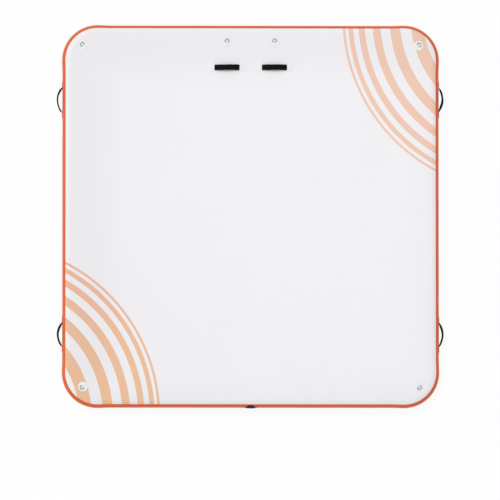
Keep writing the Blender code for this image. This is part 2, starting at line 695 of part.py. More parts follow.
def saddle_flange():
    """The flange: flat in front, and hollowed behind to sit on the curved edge."""
    root = FLANGE_BACK - edge_drop(FLANGE_RADIUS) - OVERRUN
    inner = RECESS_RADIUS + BARREL_LIP / 5
    flange = turned([(inner, root), (FLANGE_RADIUS, root), (FLANGE_RADIUS, FLANGE_FACE - FLANGE_ROUND),
                     (FLANGE_RADIUS - FLANGE_ROUND, FLANGE_FACE), (inner, FLANGE_FACE)], FLANGE_SIDES, closed=True)
    return combine(flange, "DIFFERENCE", edge_wall(root - OVERRUN, FLANGE_BACK, 2 * (FLANGE_RADIUS + OVERRUN)))


def valve_barrel():
    """The barrel: cap recess, hose socket, airway and the seat that the diaphragm closes."""
    tail_radius = AIRWAY_RADIUS + BARREL_TAIL_WALL
    return turned([(BARREL_RADIUS, BARREL_TOP), (RECESS_RADIUS, BARREL_TOP), (RECESS_RADIUS, RECESS_FLOOR),
                   (BORE_RADIUS + BORE_CHAMFER, RECESS_FLOOR), (BORE_RADIUS, RECESS_FLOOR - BORE_CHAMFER),
                   (BORE_RADIUS, -SOCKET_DEPTH), (AIRWAY_RADIUS, -SOCKET_DEPTH - (AIRWAY_RADIUS - BORE_RADIUS)),
                   (AIRWAY_RADIUS, -BARREL_DEPTH + 2 * SEAT_LIP), (SEAT_RADIUS, -BARREL_DEPTH + SEAT_LIP),
                   (SEAT_RADIUS, -BARREL_DEPTH), (tail_radius, -BARREL_DEPTH),
                   (tail_radius, -BARREL_STEP_DEPTH), (BARREL_RADIUS, -BARREL_STEP_DEPTH + BARREL_TAIL_WALL / 2)],
                  VALVE_SIDES, closed=True)


def valve_housing():
    """Flange and barrel in one moulding, with the spider that guides the stem and the stud for the tether."""
    hub_back = -HUB_DEPTH - HUB_LENGTH
    hub = ring_solid(STEM_RADIUS + CLEARANCE, HUB_RADIUS, hub_back, -HUB_DEPTH, VALVE_SIDES)
    arms = []
    for i in range(SPIDER_ARMS):
        arm = block((STEM_RADIUS + HUB_RADIUS) / 2, AIRWAY_RADIUS + SEAT_LIP, SPIDER_ARM_WIDTH,
                    hub_back + HUB_LENGTH / 8, -HUB_DEPTH - HUB_LENGTH / 8)
        arm.matrix_world = Matrix.Rotation(TURN * i / SPIDER_ARMS, 4, "X")
        arms.append(arm)
    head = EYELET_HEIGHT + TETHER_WALL / 2 + CLEARANCE
    stud = turned([(0, FLANGE_BACK + FLANGE_WALL / 4), (TETHER_STUD_RADIUS, FLANGE_BACK + FLANGE_WALL / 4),
                   (TETHER_STUD_RADIUS, head), (TETHER_STUD_RADIUS * 3 / 2, head),
                   (TETHER_STUD_RADIUS * 3 / 2, head + TETHER_WALL), (0, head + TETHER_WALL)],
                  SMALL_SIDES, along=TETHER_STUD_REACH)
    housing = combine(valve_barrel(), "UNION", saddle_flange(), hub, *arms, stud)
    notch = block(RECESS_RADIUS - BARREL_LIP, NOTCH_REACH, TETHER_WIDTH + 2 * CLEARANCE, RECESS_FLOOR - BORE_CHAMFER / 2,
                  FLANGE_FACE + OVERRUN)
    return combine(housing, "DIFFERENCE", notch)


def valve_nut():
    """The clamping nut inside the chamber: its face follows the wall, and its rim has finger grips."""
    front = -BAND_STACK + OVERRUN
    end = front - OVERRUN - NUT_LENGTH
    nut = turned([(BARREL_RADIUS + CLEARANCE, front), (NUT_RADIUS, front), (NUT_RADIUS, end + NUT_CHAMFER),
                  (NUT_RADIUS - NUT_CHAMFER, end), (BARREL_RADIUS + CLEARANCE, end)], VALVE_SIDES, closed=True)
    bm = bmesh.new()
    for i in range(NUT_GRIPS):
        turn = Matrix.Rotation(TURN * (i + 1 / 2) / NUT_GRIPS, 4, "X")
        lie = Matrix.Rotation(math.pi / 2, 4, "Y")
        spot = turn @ Matrix.Translation((end / 2, NUT_RADIUS + NUT_GRIP_RADIUS / 4, 0)) @ lie
        bmesh.ops.create_cone(bm, cap_ends=True, segments=6, radius1=NUT_GRIP_RADIUS, radius2=NUT_GRIP_RADIUS,
                              depth=2 * NUT_LENGTH, matrix=spot)
    wall = edge_wall(-BAND_STACK, OVERRUN + edge_drop(NUT_RADIUS), 2 * (NUT_RADIUS + OVERRUN))
    return combine(nut, "DIFFERENCE", wall, new_object(bm, "grips"))


def valve_stem():
    """Push button, rod and retainer in one, with a slot to turn the button by."""
    stem = turned([(0, -BUTTON_DEPTH), (BUTTON_RADIUS - BUTTON_CHAMFER, -BUTTON_DEPTH),
                   (BUTTON_RADIUS, -BUTTON_DEPTH - BUTTON_CHAMFER), (BUTTON_RADIUS, BUTTON_BACK),
                   (STEM_RADIUS, BUTTON_BACK), (STEM_RADIUS, DIAPHRAGM_BACK - CLEARANCE),
                   (RETAINER_RADIUS, DIAPHRAGM_BACK - CLEARANCE),
                   (RETAINER_RADIUS, DIAPHRAGM_BACK - CLEARANCE - RETAINER_WALL),
                   (0, DIAPHRAGM_BACK - CLEARANCE - RETAINER_WALL)], SMALL_SIDES)
    slot = block(BUTTON_CHAMFER - BUTTON_RADIUS, BUTTON_RADIUS - BUTTON_CHAMFER, BUTTON_SLOT_WIDTH,
                 -BUTTON_DEPTH - BUTTON_SLOT_DEPTH, OVERRUN - BUTTON_DEPTH)
    return combine(stem, "DIFFERENCE", slot)


def valve_diaphragm():
    """The rubber flap that the spring holds against the barrel's seat."""
    return turned([(STEM_RADIUS + CLEARANCE, DIAPHRAGM_FRONT), (DIAPHRAGM_RADIUS - DIAPHRAGM_WALL / 2, DIAPHRAGM_FRONT),
                   (DIAPHRAGM_RADIUS, DIAPHRAGM_FRONT - DIAPHRAGM_WALL / 2), (DIAPHRAGM_RADIUS, DIAPHRAGM_BACK),
                   (STEM_RADIUS + CLEARANCE, DIAPHRAGM_BACK)], VALVE_SIDES, closed=True)


def least_gap(points, wire: float) -> float:
    """The smallest space between one turn of a coil and the next."""
    near = [(a - b).length for i, a in enumerate(points) for b in points[i + SPRING_POINTS_PER_TURN // 2 + 1:]]
    return min(near) - wire


def valve_spring():
    """The coil between the spider's hub and the button."""
    start = -HUB_DEPTH + SPRING_WIRE / 2 + CLEARANCE
    end = BUTTON_BACK - SPRING_WIRE / 2 - CLEARANCE
    count = SPRING_TURNS * SPRING_POINTS_PER_TURN
    curve = bpy.data.curves.new("spring", "CURVE")
    curve.dimensions = "3D"
    curve.bevel_depth = SPRING_WIRE / 2
    curve.bevel_resolution = 1
    curve.use_fill_caps = True
    points = []
    for i in range(count + 1):
        angle = TURN * i / SPRING_POINTS_PER_TURN
        out = start + (end - start) * i / count
        points.append(Vector((out, SPRING_RADIUS * math.cos(angle), SPRING_RADIUS * math.sin(angle))))
    spline = curve.splines.new("POLY")
    spline.points.add(count)
    for spot, point in zip(spline.points, points):
        spot.co = (*point, 1)
    print(f"Valve spring: least gap between turns {1000 * least_gap(points, SPRING_WIRE):.2f} mm")
    spring = bpy.data.objects.new("spring", curve)
    bpy.context.collection.objects.link(spring)
    return spring


def valve_cap():
    """The screw cap: a low dome with a grip bar, and a hollow plug with a groove for its seal."""
    rim_top = CAP_SEAT + CAP_RIM_WALL
    ceiling = CAP_TOP - CAP_WALL
    bore = PLUG_RADIUS - PLUG_WALL
    groove_end = PLUG_END + SEAL_SETBACK
    cap = turned([(0, CAP_TOP), (CAP_RADIUS / 2, CAP_TOP - CAP_DOME / 8), (CAP_RADIUS * 7 / 8, CAP_TOP - CAP_DOME / 2),
                  (CAP_RADIUS, rim_top), (CAP_RADIUS, CAP_SEAT), (PLUG_RADIUS, CAP_SEAT),
                  (PLUG_RADIUS, groove_end + SEAL_WIDTH + 2 * CLEARANCE),
                  (GROOVE_RADIUS, groove_end + SEAL_WIDTH + 2 * CLEARANCE), (GROOVE_RADIUS, groove_end),
                  (PLUG_RADIUS, groove_end), (PLUG_RADIUS, PLUG_END), (bore, PLUG_END), (bore, ceiling),
                  (0, ceiling)], VALVE_SIDES)
    grip = rounded_rectangle(-CAP_GRIP_WIDTH / 2, CAP_GRIP_WIDTH / 2, CAP_GRIP_LENGTH, CAP_GRIP_WIDTH / 3, 2)
    return combine(cap, "UNION", prism(grip, CAP_TOP - CAP_WALL / 2, CAP_TOP + CAP_GRIP_HEIGHT))


def cap_seal():
    """The square-section ring in the plug's groove."""
    return ring_solid(PLUG_RADIUS - SEAL_WALL, PLUG_RADIUS, SEAL_END, SEAL_END + SEAL_WIDTH, VALVE_SIDES)


def cap_tether():
    """A ring round the plug under the cap, a strap out through the notch, and an eyelet on the stud."""
    low = RECESS_FLOOR + CLEARANCE + TETHER_WALL / 2
    ring_inner = PLUG_RADIUS + CLEARANCE
    ring = ring_solid(ring_inner, ring_inner + TETHER_RING_WIDTH, low - TETHER_WALL / 2, low + TETHER_WALL / 2,
                      VALVE_SIDES)
    eyelet_inner = TETHER_STUD_RADIUS + CLEARANCE
    eyelet = ring_solid(eyelet_inner, eyelet_inner + TETHER_EYELET_WALL, EYELET_HEIGHT - TETHER_WALL / 2,
                        EYELET_HEIGHT + TETHER_WALL / 2, SMALL_SIDES, along=TETHER_STUD_REACH)
    route = [Vector((ring_inner + TETHER_RING_WIDTH / 2, low)), Vector((RECESS_RADIUS + CLEARANCE, low)),
             Vector((NOTCH_REACH - TETHER_WALL / 2, EYELET_HEIGHT)),
             Vector((TETHER_STUD_REACH - eyelet_inner - TETHER_WALL / 2, EYELET_HEIGHT))]
    strap = loft(carried(route, flat_section(TETHER_STRAP_WALL, TETHER_WIDTH)))
    return combine(ring, "UNION", strap, eyelet)


def build_valve() -> None:
    """The valve's ten pieces, all on one axis in the middle of the front edge."""
    front = on_side(FRONT_SIDE, 0)
    piece(valve_disc(), "valve_disc", "black rubber", front)
    piece(valve_gasket(), "valve_gasket", "black rubber", front)
    piece(valve_housing(), "valve_housing", "blue-black moulded plastic", front)
    piece(valve_nut(), "valve_nut", "black moulded plastic", front)
    piece(valve_stem(), "valve_stem", "black moulded plastic", front)
    piece(valve_spring(), "valve_spring", "stainless steel", front)
    piece(valve_diaphragm(), "valve_diaphragm", "black rubber", front)
    piece(valve_cap(), "valve_cap", "blue-black moulded plastic", front)
    piece(cap_seal(), "valve_cap_seal", "black rubber", front)
    piece(cap_tether(), "valve_cap_tether", "black moulded plastic", front)


def main() -> None:
    """Build the whole dock."""
    clear_scene()
    build_chamber()
    build_ring_stations()
    build_handles()
    build_valve()


if __name__ == "__main__":
    main()
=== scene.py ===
"""Looks of the inflatable swim dock: coated skins with printed arcs, a glued rail, D-ring stations, padded webbing
grab handles and the air valve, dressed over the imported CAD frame.

Everything is in metres in the frame of the CAD model. Hardware is worked out in the local frame of its own place,
with X out of the surface that carries it, Y along the piece and Z across, and then put there as whole arrays.
"""

import logging
import math
import sys
from collections.abc import Callable
from dataclasses import dataclass
from enum import Enum

import bpy
import numpy as np
from mathutils import Matrix

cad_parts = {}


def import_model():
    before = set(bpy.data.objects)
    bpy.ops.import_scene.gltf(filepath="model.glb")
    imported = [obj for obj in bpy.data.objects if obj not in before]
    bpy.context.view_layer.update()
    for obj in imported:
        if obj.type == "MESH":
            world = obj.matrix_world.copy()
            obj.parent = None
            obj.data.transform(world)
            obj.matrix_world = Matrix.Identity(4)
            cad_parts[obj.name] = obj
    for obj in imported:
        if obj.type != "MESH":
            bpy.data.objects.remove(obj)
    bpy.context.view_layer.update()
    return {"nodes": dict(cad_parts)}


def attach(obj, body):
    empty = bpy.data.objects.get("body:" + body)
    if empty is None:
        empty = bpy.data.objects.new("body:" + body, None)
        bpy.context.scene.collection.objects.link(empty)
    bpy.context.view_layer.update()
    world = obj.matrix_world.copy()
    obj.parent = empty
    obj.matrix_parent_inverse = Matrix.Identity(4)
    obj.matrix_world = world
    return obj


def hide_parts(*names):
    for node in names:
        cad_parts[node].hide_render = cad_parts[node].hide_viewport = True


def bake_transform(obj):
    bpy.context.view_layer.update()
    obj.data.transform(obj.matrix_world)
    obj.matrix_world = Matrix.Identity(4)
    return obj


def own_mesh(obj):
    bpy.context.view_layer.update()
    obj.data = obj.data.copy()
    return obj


log = logging.getLogger("dock")
Array = np.ndarray
Socket = bpy.types.NodeSocket
Value = float | tuple | Socket
Pair = tuple[float, float]
Three = tuple[float, float, float]
Lift = Callable[[Array, Array, Array, Array], Array]
TURN = 2 * math.pi
MM = 0.001
# The gap that stands for glue, or for the play of a strap in its cover
GLUE = 0.3 * MM
# Where the rings at the corners and those at the rear edge stand, to the right and the rear of the middle, and the
# radius of their patches
CORNER_RING = (1.336, 1.361)
REAR_RING = (0.189, 1.389)
RING_PATCH = 39 * MM


# Colour and nodes


def linear(code: str) -> tuple[float, float, float, float]:
    """Turn an sRGB hex colour into linear values.

    Args:
        code: six hex digits after a hash sign.

    Returns:
        Red, green, blue and an alpha of 1, from c / 12.92 below 0.04045 and ((c + 0.055) / 1.055) ** 2.4 above.
    """
    parts = [int(code[i:i + 2], 16) / 255 for i in (1, 3, 5)]
    return (*[c / 12.92 if c <= 0.04045 else ((c + 0.055) / 1.055) ** 2.4 for c in parts], 1.0)


BLACK, WHITE = linear("#000000"), linear("#ffffff")


@dataclass(frozen=True)
class Graph:
    """A node tree, and the few kinds of node that the finishes and the studio are made of."""

    tree: bpy.types.NodeTree

    def feed(self, socket: Socket, value: Value) -> None:
        """Link a node's input to an output, or set its value."""
        if isinstance(value, Socket):
            self.tree.links.new(value, socket)
        else:
            socket.default_value = value

    def add(self, kind: str, inputs: dict | None = None, **settings) -> bpy.types.Node:
        """Add one node with its settings and its links.

        Args:
            kind: the node's type without the word ShaderNode.
            inputs: values or output sockets by input name or number.
            settings: the node's own properties.

        Returns:
            The new node.
        """
        node = self.tree.nodes.new("ShaderNode" + kind)
        for name, value in settings.items():
            setattr(node, name, value)
        for name, value in (inputs or {}).items():
            self.feed(node.inputs[name], value)
        return node

    def calc(self, operation: str, first: Value, second: Value = 0.0) -> Socket:
        """Return what an operation makes of two numbers."""
        return self.add("Math", {0: first, 1: second}, operation=operation).outputs[0]

    def remap(self, value: Socket, source: Pair, target: Pair, kind: str = "LINEAR") -> Socket:
        """Return a number carried from one range to another and held at its ends."""
        inputs = dict(enumerate((value, *source, *target)))
        return self.add("MapRange", inputs, interpolation_type=kind).outputs[0]

    def mix(self, share: Value, first: Value, second: Value, kind: str = "MIX") -> Socket:
        """Return a colour mixed or multiplied from two."""
        return self.add("Mix", {0: share, 6: first, 7: second}, data_type="RGBA", blend_type=kind).outputs[2]

    def grey(self, value: Socket) -> Socket:
        """Return a number as a grey."""
        return self.add("CombineColor", {0: value, 1: value, 2: value}).outputs[0]

    def distance(self, where: Socket, x: float, y: float) -> Socket:
        """Return how far a place is from a point of the deck, seen from above."""
        flat = self.add("VectorMath", {0: where, 1: (1.0, 1.0, 0.0)}, operation="MULTIPLY").outputs[0]
        return self.add("VectorMath", {0: flat, 1: (x, y, 0.0)}, operation="DISTANCE").outputs["Value"]


class Pattern(Enum):
    """Where a finish reads its pattern from."""

    PLACE = "Object"
    CLOTH = "UV"


@dataclass(frozen=True)
class Finish:
    """One finish: a Principled shader with a colour that varies a little, and a grain that stands proud of it and
    darkens the colour where it is low, painted shade in the hollows of a weave.

    The grain is crossed waves of the given pitch, or fine noise where it isn't woven. Sizes are in metres.
    """

    name: str
    colour: str
    roughness: float
    pitch: Pair = (1 * MM, 1 * MM)
    relief: float = 0.1 * MM
    woven: bool = True
    reads: Pattern = Pattern.PLACE
    blotch: float = 0.05
    blotch_size: float = 0.35
    metallic: float = 0.0
    sheen: float = 0.0
    gloss: float = 0.5
    noise_range: Pair = (0.3, 0.7)
    roughness_spread: Pair = (0.9, 1.12)

    def material(self) -> bpy.types.Material:
        """Return the finish's material, made once."""
        if self.name in bpy.data.materials:
            return bpy.data.materials[self.name]
        material = bpy.data.materials.new(self.name)
        material.use_nodes = True
        graph = Graph(material.node_tree)
        where = graph.add("TexCoord").outputs[self.reads.value]
        cloud = graph.add("TexNoise", {"Vector": where, "Scale": 1 / self.blotch_size, "Detail": 3.0}).outputs[0]
        grain = self.grain(graph, where)
        tone = graph.remap(cloud, self.noise_range, (1 - self.blotch, 1.0))
        # Painted shade: the colour darkens by up to the blotch share where the grain is low
        shade = graph.remap(grain, (0.0, 1.0), (1 - self.blotch, 1.0))
        value = graph.grey(graph.calc("MULTIPLY", tone, shade))
        low, high = (min(self.roughness * share, 1.0) for share in self.roughness_spread)
        bump = graph.add("Bump", {"Height": grain, "Distance": self.relief, "Strength": 1.0}).outputs[0]
        looks = {"Base Color": graph.mix(1.0, self.ink(graph, where), value, "MULTIPLY"), "Normal": bump,
                 "Roughness": graph.remap(cloud, self.noise_range, (low, high)), "Metallic": self.metallic,
                 "Sheen Weight": self.sheen, "Specular IOR Level": self.gloss}
        shader = graph.tree.nodes["Principled BSDF"]
        for name, look in looks.items():
            graph.feed(shader.inputs[name], look)
        return material

    def ink(self, graph: Graph, where: Socket) -> Value:
        """Return the base colour."""
        return linear(self.colour)

    def grain(self, graph: Graph, where: Socket) -> Socket:
        """Return a height from 0 to 1.

        Woven: the product of 1/2 + 1/2 sin(2 pi x / p) over both ways. A wave node's period is pi / (10 scale).
        """
        if not self.woven:
            return graph.add("TexNoise", {"Vector": where, "Scale": 1 / self.pitch[0], "Detail": 2.0}).outputs[0]
        ribs = []
        for way, pitch in zip("XY", self.pitch):
            inputs = {"Vector": where, "Scale": math.pi / 10 / pitch}
            ribs.append(graph.add("TexWave", inputs, bands_direction=way).outputs[1])
        return graph.calc("MULTIPLY", *ribs)


@dataclass(frozen=True)
class PrintedFinish(Finish):
    """Coated cloth with arcs printed round two centres, one beyond each of two opposite corners.

    The bands' numbers are the distances at which the ink starts and ends, in turn.
    """

    centres: tuple[Pair, Pair] = ((2.1193, 1.5846), (-2.108, -1.600))
    bands: tuple[float, ...] = (0.739, 0.838, 0.928, 1.009, 1.086, 1.149, 1.211, 1.259, 1.305, 1.338, 1.368, 1.384)
    reach: float = 1.6
    far_ink: str = "#f2cab5"
    near_inks: tuple[str, str] = ("#eebba2", "#f0c29d")
    near_fade: Pair = (-0.3, -1.3)
    half_deck: Pair = (1.437, 1.462)
    # Painted shade: darker along the rolled margins, whose middle and width these set, and darker away from one
    # lit spot
    middle: Pair = (0.14, -0.14)
    margin: float = 0.35
    margin_shade: float = 0.048
    lit_spot: Pair = (0.9, 0.3)
    lit_spot_reach: Pair = (0.8, 2.6)
    far_shade: float = 0.04
    # Painted shadow: a darker ring just outside each ring patch, this wide and this dark
    patch_shadow_reach: float = 9 * MM
    patch_shadow_tone: float = 0.05

    def ink(self, graph: Graph, where: Socket) -> Socket:
        """Mix the inks over the ground where the distance to a centre falls in a band, but not under a patch, then
        darken them with painted shade.
        """
        span = graph.calc("MINIMUM", *(graph.distance(where, *centre) for centre in self.centres))
        ramp = graph.add("ValToRGB", {0: graph.calc("DIVIDE", span, self.reach)})
        ramp.color_ramp.interpolation = "CONSTANT"
        stops = ramp.color_ramp.elements
        stops[0].position, stops[0].color = 0.0, BLACK
        stops[1].position, stops[1].color = self.bands[0] / self.reach, WHITE
        for i, edge in enumerate(self.bands[1:]):
            stops.new(edge / self.reach).color = WHITE if i % 2 else BLACK
        x, y, _ = graph.add("SeparateXYZ", {0: where}).outputs
        low = graph.mix(graph.remap(y, self.near_fade, (0.0, 1.0)), *(linear(code) for code in self.near_inks))
        dye = graph.mix(graph.calc("GREATER_THAN", x), low, linear(self.far_ink))
        apart = self.patch_distance(graph, x, y)
        bare = graph.calc("GREATER_THAN", apart, RING_PATCH - 1 * MM)
        printed = graph.mix(graph.calc("MULTIPLY", ramp.outputs[0], bare), linear(self.colour), dye)
        # Painted shadow round each ring patch, darkest at its rim
        patch_shadow = graph.remap(apart, (RING_PATCH, RING_PATCH + self.patch_shadow_reach), (1 - self.patch_shadow_tone, 1.0))
        # Painted shade along the margins and away from the lit spot, times the painted shadow round the patches
        tone = graph.calc("MULTIPLY", self.painted_shade(graph, where, (x, y)), patch_shadow)
        return graph.mix(1.0, printed, graph.grey(tone), "MULTIPLY")

    def patch_distance(self, graph: Graph, x: Socket, y: Socket) -> Socket:
        """Return the distance to the nearest ring patch, min(|(|x|, |y|) - corner|, |(|x|, y) - rear|)."""
        wide, high = graph.calc("ABSOLUTE", x), graph.calc("ABSOLUTE", y)
        corner = graph.distance(graph.add("CombineXYZ", {0: wide, 1: high}).outputs[0], *CORNER_RING)
        rear = graph.distance(graph.add("CombineXYZ", {0: wide, 1: y}).outputs[0], *REAR_RING)
        return graph.calc("MINIMUM", corner, rear)

    def painted_shade(self, graph: Graph, where: Socket, axes: tuple[Socket, Socket]) -> Socket:
        """Paint shade on the print: a little darker along the rolled margins and away from one lit spot.

        Tone = (1 - m (1 - S(d / w))) (1 - f S(r)), where d is the distance to the nearest edge of the deck, moved
        by its middle, r the distance to the lit spot, and S a smooth step.
        """
        insets = []
        for axis, half, middle in zip(axes, self.half_deck, self.middle):
            away = graph.calc("ABSOLUTE", graph.calc("SUBTRACT", axis, middle))
            insets.append(graph.calc("SUBTRACT", half, away))
        nearest = graph.calc("MINIMUM", *insets)
        rim = graph.remap(nearest, (0.0, self.margin), (1 - self.margin_shade, 1.0), "SMOOTHSTEP")
        away = graph.distance(where, *self.lit_spot)
        wide = graph.remap(away, self.lit_spot_reach, (1.0, 1 - self.far_shade), "SMOOTHSTEP")
        return graph.calc("MULTIPLY", rim, wide)


# Coated drop-stitch cloth, calendered PVC on a 1000 denier ground: satin, with the ground's ribs just showing
DECK_PVC = PrintedFinish("printed PVC on drop-stitch cloth", "#f3f1f4", 0.45, (3 * MM, 3 * MM), 0.13 * MM,
                         blotch=0.015, gloss=0.25)
BOTTOM_PVC = Finish("grey PVC on drop-stitch cloth", "#b4b6ba", 0.5, (3 * MM, 3 * MM), 0.1 * MM, blotch=0.03)
# Side wall cloth, a plasticised PVC film on scrim of 3 mm pitch: glossier, the scrim telegraphs through
RAIL_PVC = Finish("orange PVC wall cloth", "#da5d25", 0.38, (3 * MM, 3 * MM), 0.07 * MM, reads=Pattern.CLOTH,
                  blotch=0.03, gloss=0.22)
PATCH_PVC = Finish("welded white PVC patch", "#eeedf0", 0.42, (1.5 * MM, 1.5 * MM), 0.05 * MM, blotch=0.02,
                   gloss=0.25)
RAIL_PATCH_PVC = Finish("welded orange PVC patch", "#da5d25", 0.42, (1.5 * MM, 1.5 * MM), 0.05 * MM,
                        reads=Pattern.CLOTH, blotch=0.03, gloss=0.22)
INNER_PVC = Finish("white PVC first ply", "#e6e6e8", 0.5, (1.5 * MM, 1.5 * MM), 0.06 * MM)
CORE_CLOTH = Finish("white polyester thread cloth", "#e4e3df", 0.9, (2 * MM, 2 * MM), 0.2 * MM, sheen=0.2)
# Woven polypropylene webbing, 2 mm ribs across it: dull black with a silky nap
BLACK_WEBBING = Finish("black polypropylene webbing", "#100f13", 0.72, (2 * MM, 1.5 * MM), 0.35 * MM,
                       reads=Pattern.CLOTH, blotch=0.35, blotch_size=0.02, sheen=0.03, gloss=0.08)
WHITE_WEBBING = Finish("white polyester webbing", "#e9e9ec", 0.75, (2 * MM, 1.5 * MM), 0.3 * MM,
                       reads=Pattern.CLOTH, blotch=0.12, blotch_size=0.02, sheen=0.15)
# Neoprene foam with a nylon jersey face, knitted at 1.2 mm: nearly black, a soft bluish bloom
NEOPRENE = Finish("neoprene with nylon jersey", "#0c0b10", 0.8, (1.2 * MM, 1.2 * MM), 0.15 * MM,
                  reads=Pattern.CLOTH, blotch=0.25, blotch_size=0.03, sheen=0.03, gloss=0.1)
THREAD = Finish("bonded polyester thread", "#26252b", 0.5, (0.6 * MM, 0.6 * MM), 0.05 * MM, blotch=0.1, sheen=0.2)
# Type 316 rod, drawn, bent, welded and electropolished: bright with a faint cloud
RING_STEEL = Finish("polished stainless steel", "#7d7f86", 0.22, (0.5 * MM, 0.5 * MM), 0.004 * MM, woven=False,
                    metallic=1.0, blotch=0.08, blotch_size=0.01)
SPRING_STEEL = Finish("drawn spring steel", "#a5a6a9", 0.28, (0.3 * MM, 0.3 * MM), 0.004 * MM, woven=False,
                      metallic=1.0, blotch=0.1, blotch_size=0.004)
# Injection-moulded glass-filled nylon, spark-eroded texture: half matt, blue-black
VALVE_PLASTIC = Finish("moulded blue-black nylon", "#292b38", 0.42, (0.5 * MM, 0.5 * MM), 0.03 * MM, woven=False,
                       blotch=0.12, blotch_size=0.02, gloss=0.3)
NUT_PLASTIC = Finish("moulded black nylon", "#1b1c20", 0.5, (0.6 * MM, 0.6 * MM), 0.04 * MM, woven=False,
                     blotch=0.12, blotch_size=0.02)
# EPDM and TPU rubber, press moulded: dull, faintly dusty
VALVE_RUBBER = Finish("moulded black rubber", "#151517", 0.68, (0.8 * MM, 0.8 * MM), 0.04 * MM, woven=False,
                      blotch=0.15, blotch_size=0.03, gloss=0.15)


# Surfaces worked out on grids


@dataclass
class Shell:
    """A closed surface: points, polygons of one size to an array, and a cloth coordinate for each corner."""

    points: Array
    polygons: list[Array]
    cloth: list[Array]

    def outward(self) -> "Shell":
        """Turn the faces to point out, by the sign of the volume, the sum of a . (b x c) / 6 over triangles."""
        volume = 0.0
        for faces in self.polygons:
            corner = self.points[faces]
            for i in range(1, faces.shape[1] - 1):
                volume += np.einsum("ij,ij->", corner[:, 0], np.cross(corner[:, i], corner[:, i + 1]))
        if volume < 0:
            self.polygons = [faces[:, ::-1] for faces in self.polygons]
            self.cloth = [spots[:, ::-1] for spots in self.cloth]
        return self

    def placed(self, place: Array) -> "Shell":
        """Return the shell moved from its local frame to its place, p' = R p + t."""
        return Shell(self.points @ place[:3, :3].T + place[:3, 3], self.polygons, self.cloth)


def lengths(points: Array) -> Array:
    """Return the running length of a path, 0 at its first point."""
    steps = np.linalg.norm(np.diff(points, axis=0), axis=1)
    return np.concatenate([[0.0], np.cumsum(steps)])


def waves(where: Array, *terms: Three) -> Array:
    """Return the sum of a sin(k x + p) over (a, k, p) terms."""
    return sum(size * np.sin(rate * where + start) for size, rate, start in terms)


def smooth_step(value: Array, low: float, high: float) -> Array:
    """Return 0 below low, 1 above high and 3 t^2 - 2 t^3 between."""
    t = np.clip((value - low) / (high - low), 0, 1)
    return t * t * (3 - 2 * t)


def foot(inside: Array, rise: Pair) -> Array:
    """Return how far a cover has risen, from a foot that is rise[0] outside its edge, over a length of rise[1]."""
    return smooth_step(inside + rise[0], 0, rise[1])


def grid_shell(points: Array, wrap_rows: bool = False, wrap_cols: bool = True, caps: bool = False) -> Shell:
    """Skin a grid of points.

    Args:
        points: rows by columns by 3. Face (i, j) joins rows i and i + 1 and columns j and j + 1.
        wrap_rows: whether the last row joins the first.
        wrap_cols: whether the last column joins the first.
        caps: whether a polygon closes the first and the last row.

    Returns:
        The shell, with cloth coordinates that run in metres along the rows and the columns.
    """
    rows, cols = points.shape[:2]
    i = np.arange(rows if wrap_rows else rows - 1)[:, None]
    j = np.arange(cols if wrap_cols else cols - 1)[None, :]
    ni, nj = (i + 1) % rows, (j + 1) % cols
    quads = np.stack([i * cols + j, i * cols + nj, ni * cols + nj, ni * cols + j], -1).reshape(-1, 4)
    middle, ring = points[:, cols // 2], points[rows // 2]
    u = lengths(np.concatenate([middle, middle[:1]]))
    v = lengths(np.concatenate([ring, ring[:1]]))
    uu = np.stack([u[i] + 0 * j, u[i] + 0 * j, u[i + 1] + 0 * j, u[i + 1] + 0 * j], -1)
    vv = np.stack([v[j] + 0 * i, v[j + 1] + 0 * i, v[j + 1] + 0 * i, v[j] + 0 * i], -1)
    polygons = [quads]
    cloth = [np.stack([uu, vv], -1).reshape(-1, 4, 2)]
    if caps:
        first, last = np.arange(cols)[::-1], (rows - 1) * cols + np.arange(cols)
        polygons.append(np.stack([first, last]))
        cloth.append(np.stack([np.stack([0 * v[:cols], v[:cols]], -1)] * 2))
    return Shell(points.reshape(-1, 3), polygons, cloth).outward()


def double_sheet(top: Array, bottom: Array, kept: Array, cloth: Array) -> Shell:
    """Close a sheet between two grids, with walls round its outline and round each hole.

    Args:
        top: rows by columns by 3 points of the upper face.
        bottom: the same for the lower face.
        kept: (rows - 1) by (columns - 1), true for the cells that are there.
        cloth: rows by columns by 2 cloth coordinates in metres.

    Returns:
        The closed shell.
    """
    rows, cols = top.shape[:2]
    i, j = np.nonzero(kept)
    a, b, c, d = i * cols + j, (i + 1) * cols + j, (i + 1) * cols + j + 1, i * cols + j + 1
    under = rows * cols
    upper = np.stack([a, b, c, d], -1)
    lower = np.stack([d, c, b, a], -1) + under
    padded = np.pad(kept, 1).astype(int)
    across = np.diff(padded, axis=0)[:, 1:-1]
    along = np.diff(padded, axis=1)[1:-1]
    walls = []
    for change, sign in ((across, 1), (across, -1), (along, 1), (along, -1)):
        p, q = np.nonzero(change == sign)
        start = p * cols + q
        end = start + (1 if change is across else cols)
        if (sign < 0) != (change is along):
            start, end = end, start
        walls.append(np.stack([start, end, end + under, start + under], -1))
    faces = np.concatenate([upper, lower, *walls])
    spots = cloth.reshape(-1, 2)[faces % under]
    points = np.concatenate([top.reshape(-1, 3), bottom.reshape(-1, 3)])
    used, compact = np.unique(faces, return_inverse=True)
    return Shell(points[used], [compact.reshape(faces.shape)], [spots]).outward()


def linked(name: str, data: bpy.types.ID) -> bpy.types.Object:
    """Return a new object in the scene that shows a mesh, a lamp or a camera."""
    obj = bpy.data.objects.new(name, data)
    bpy.context.scene.collection.objects.link(obj)
    return obj


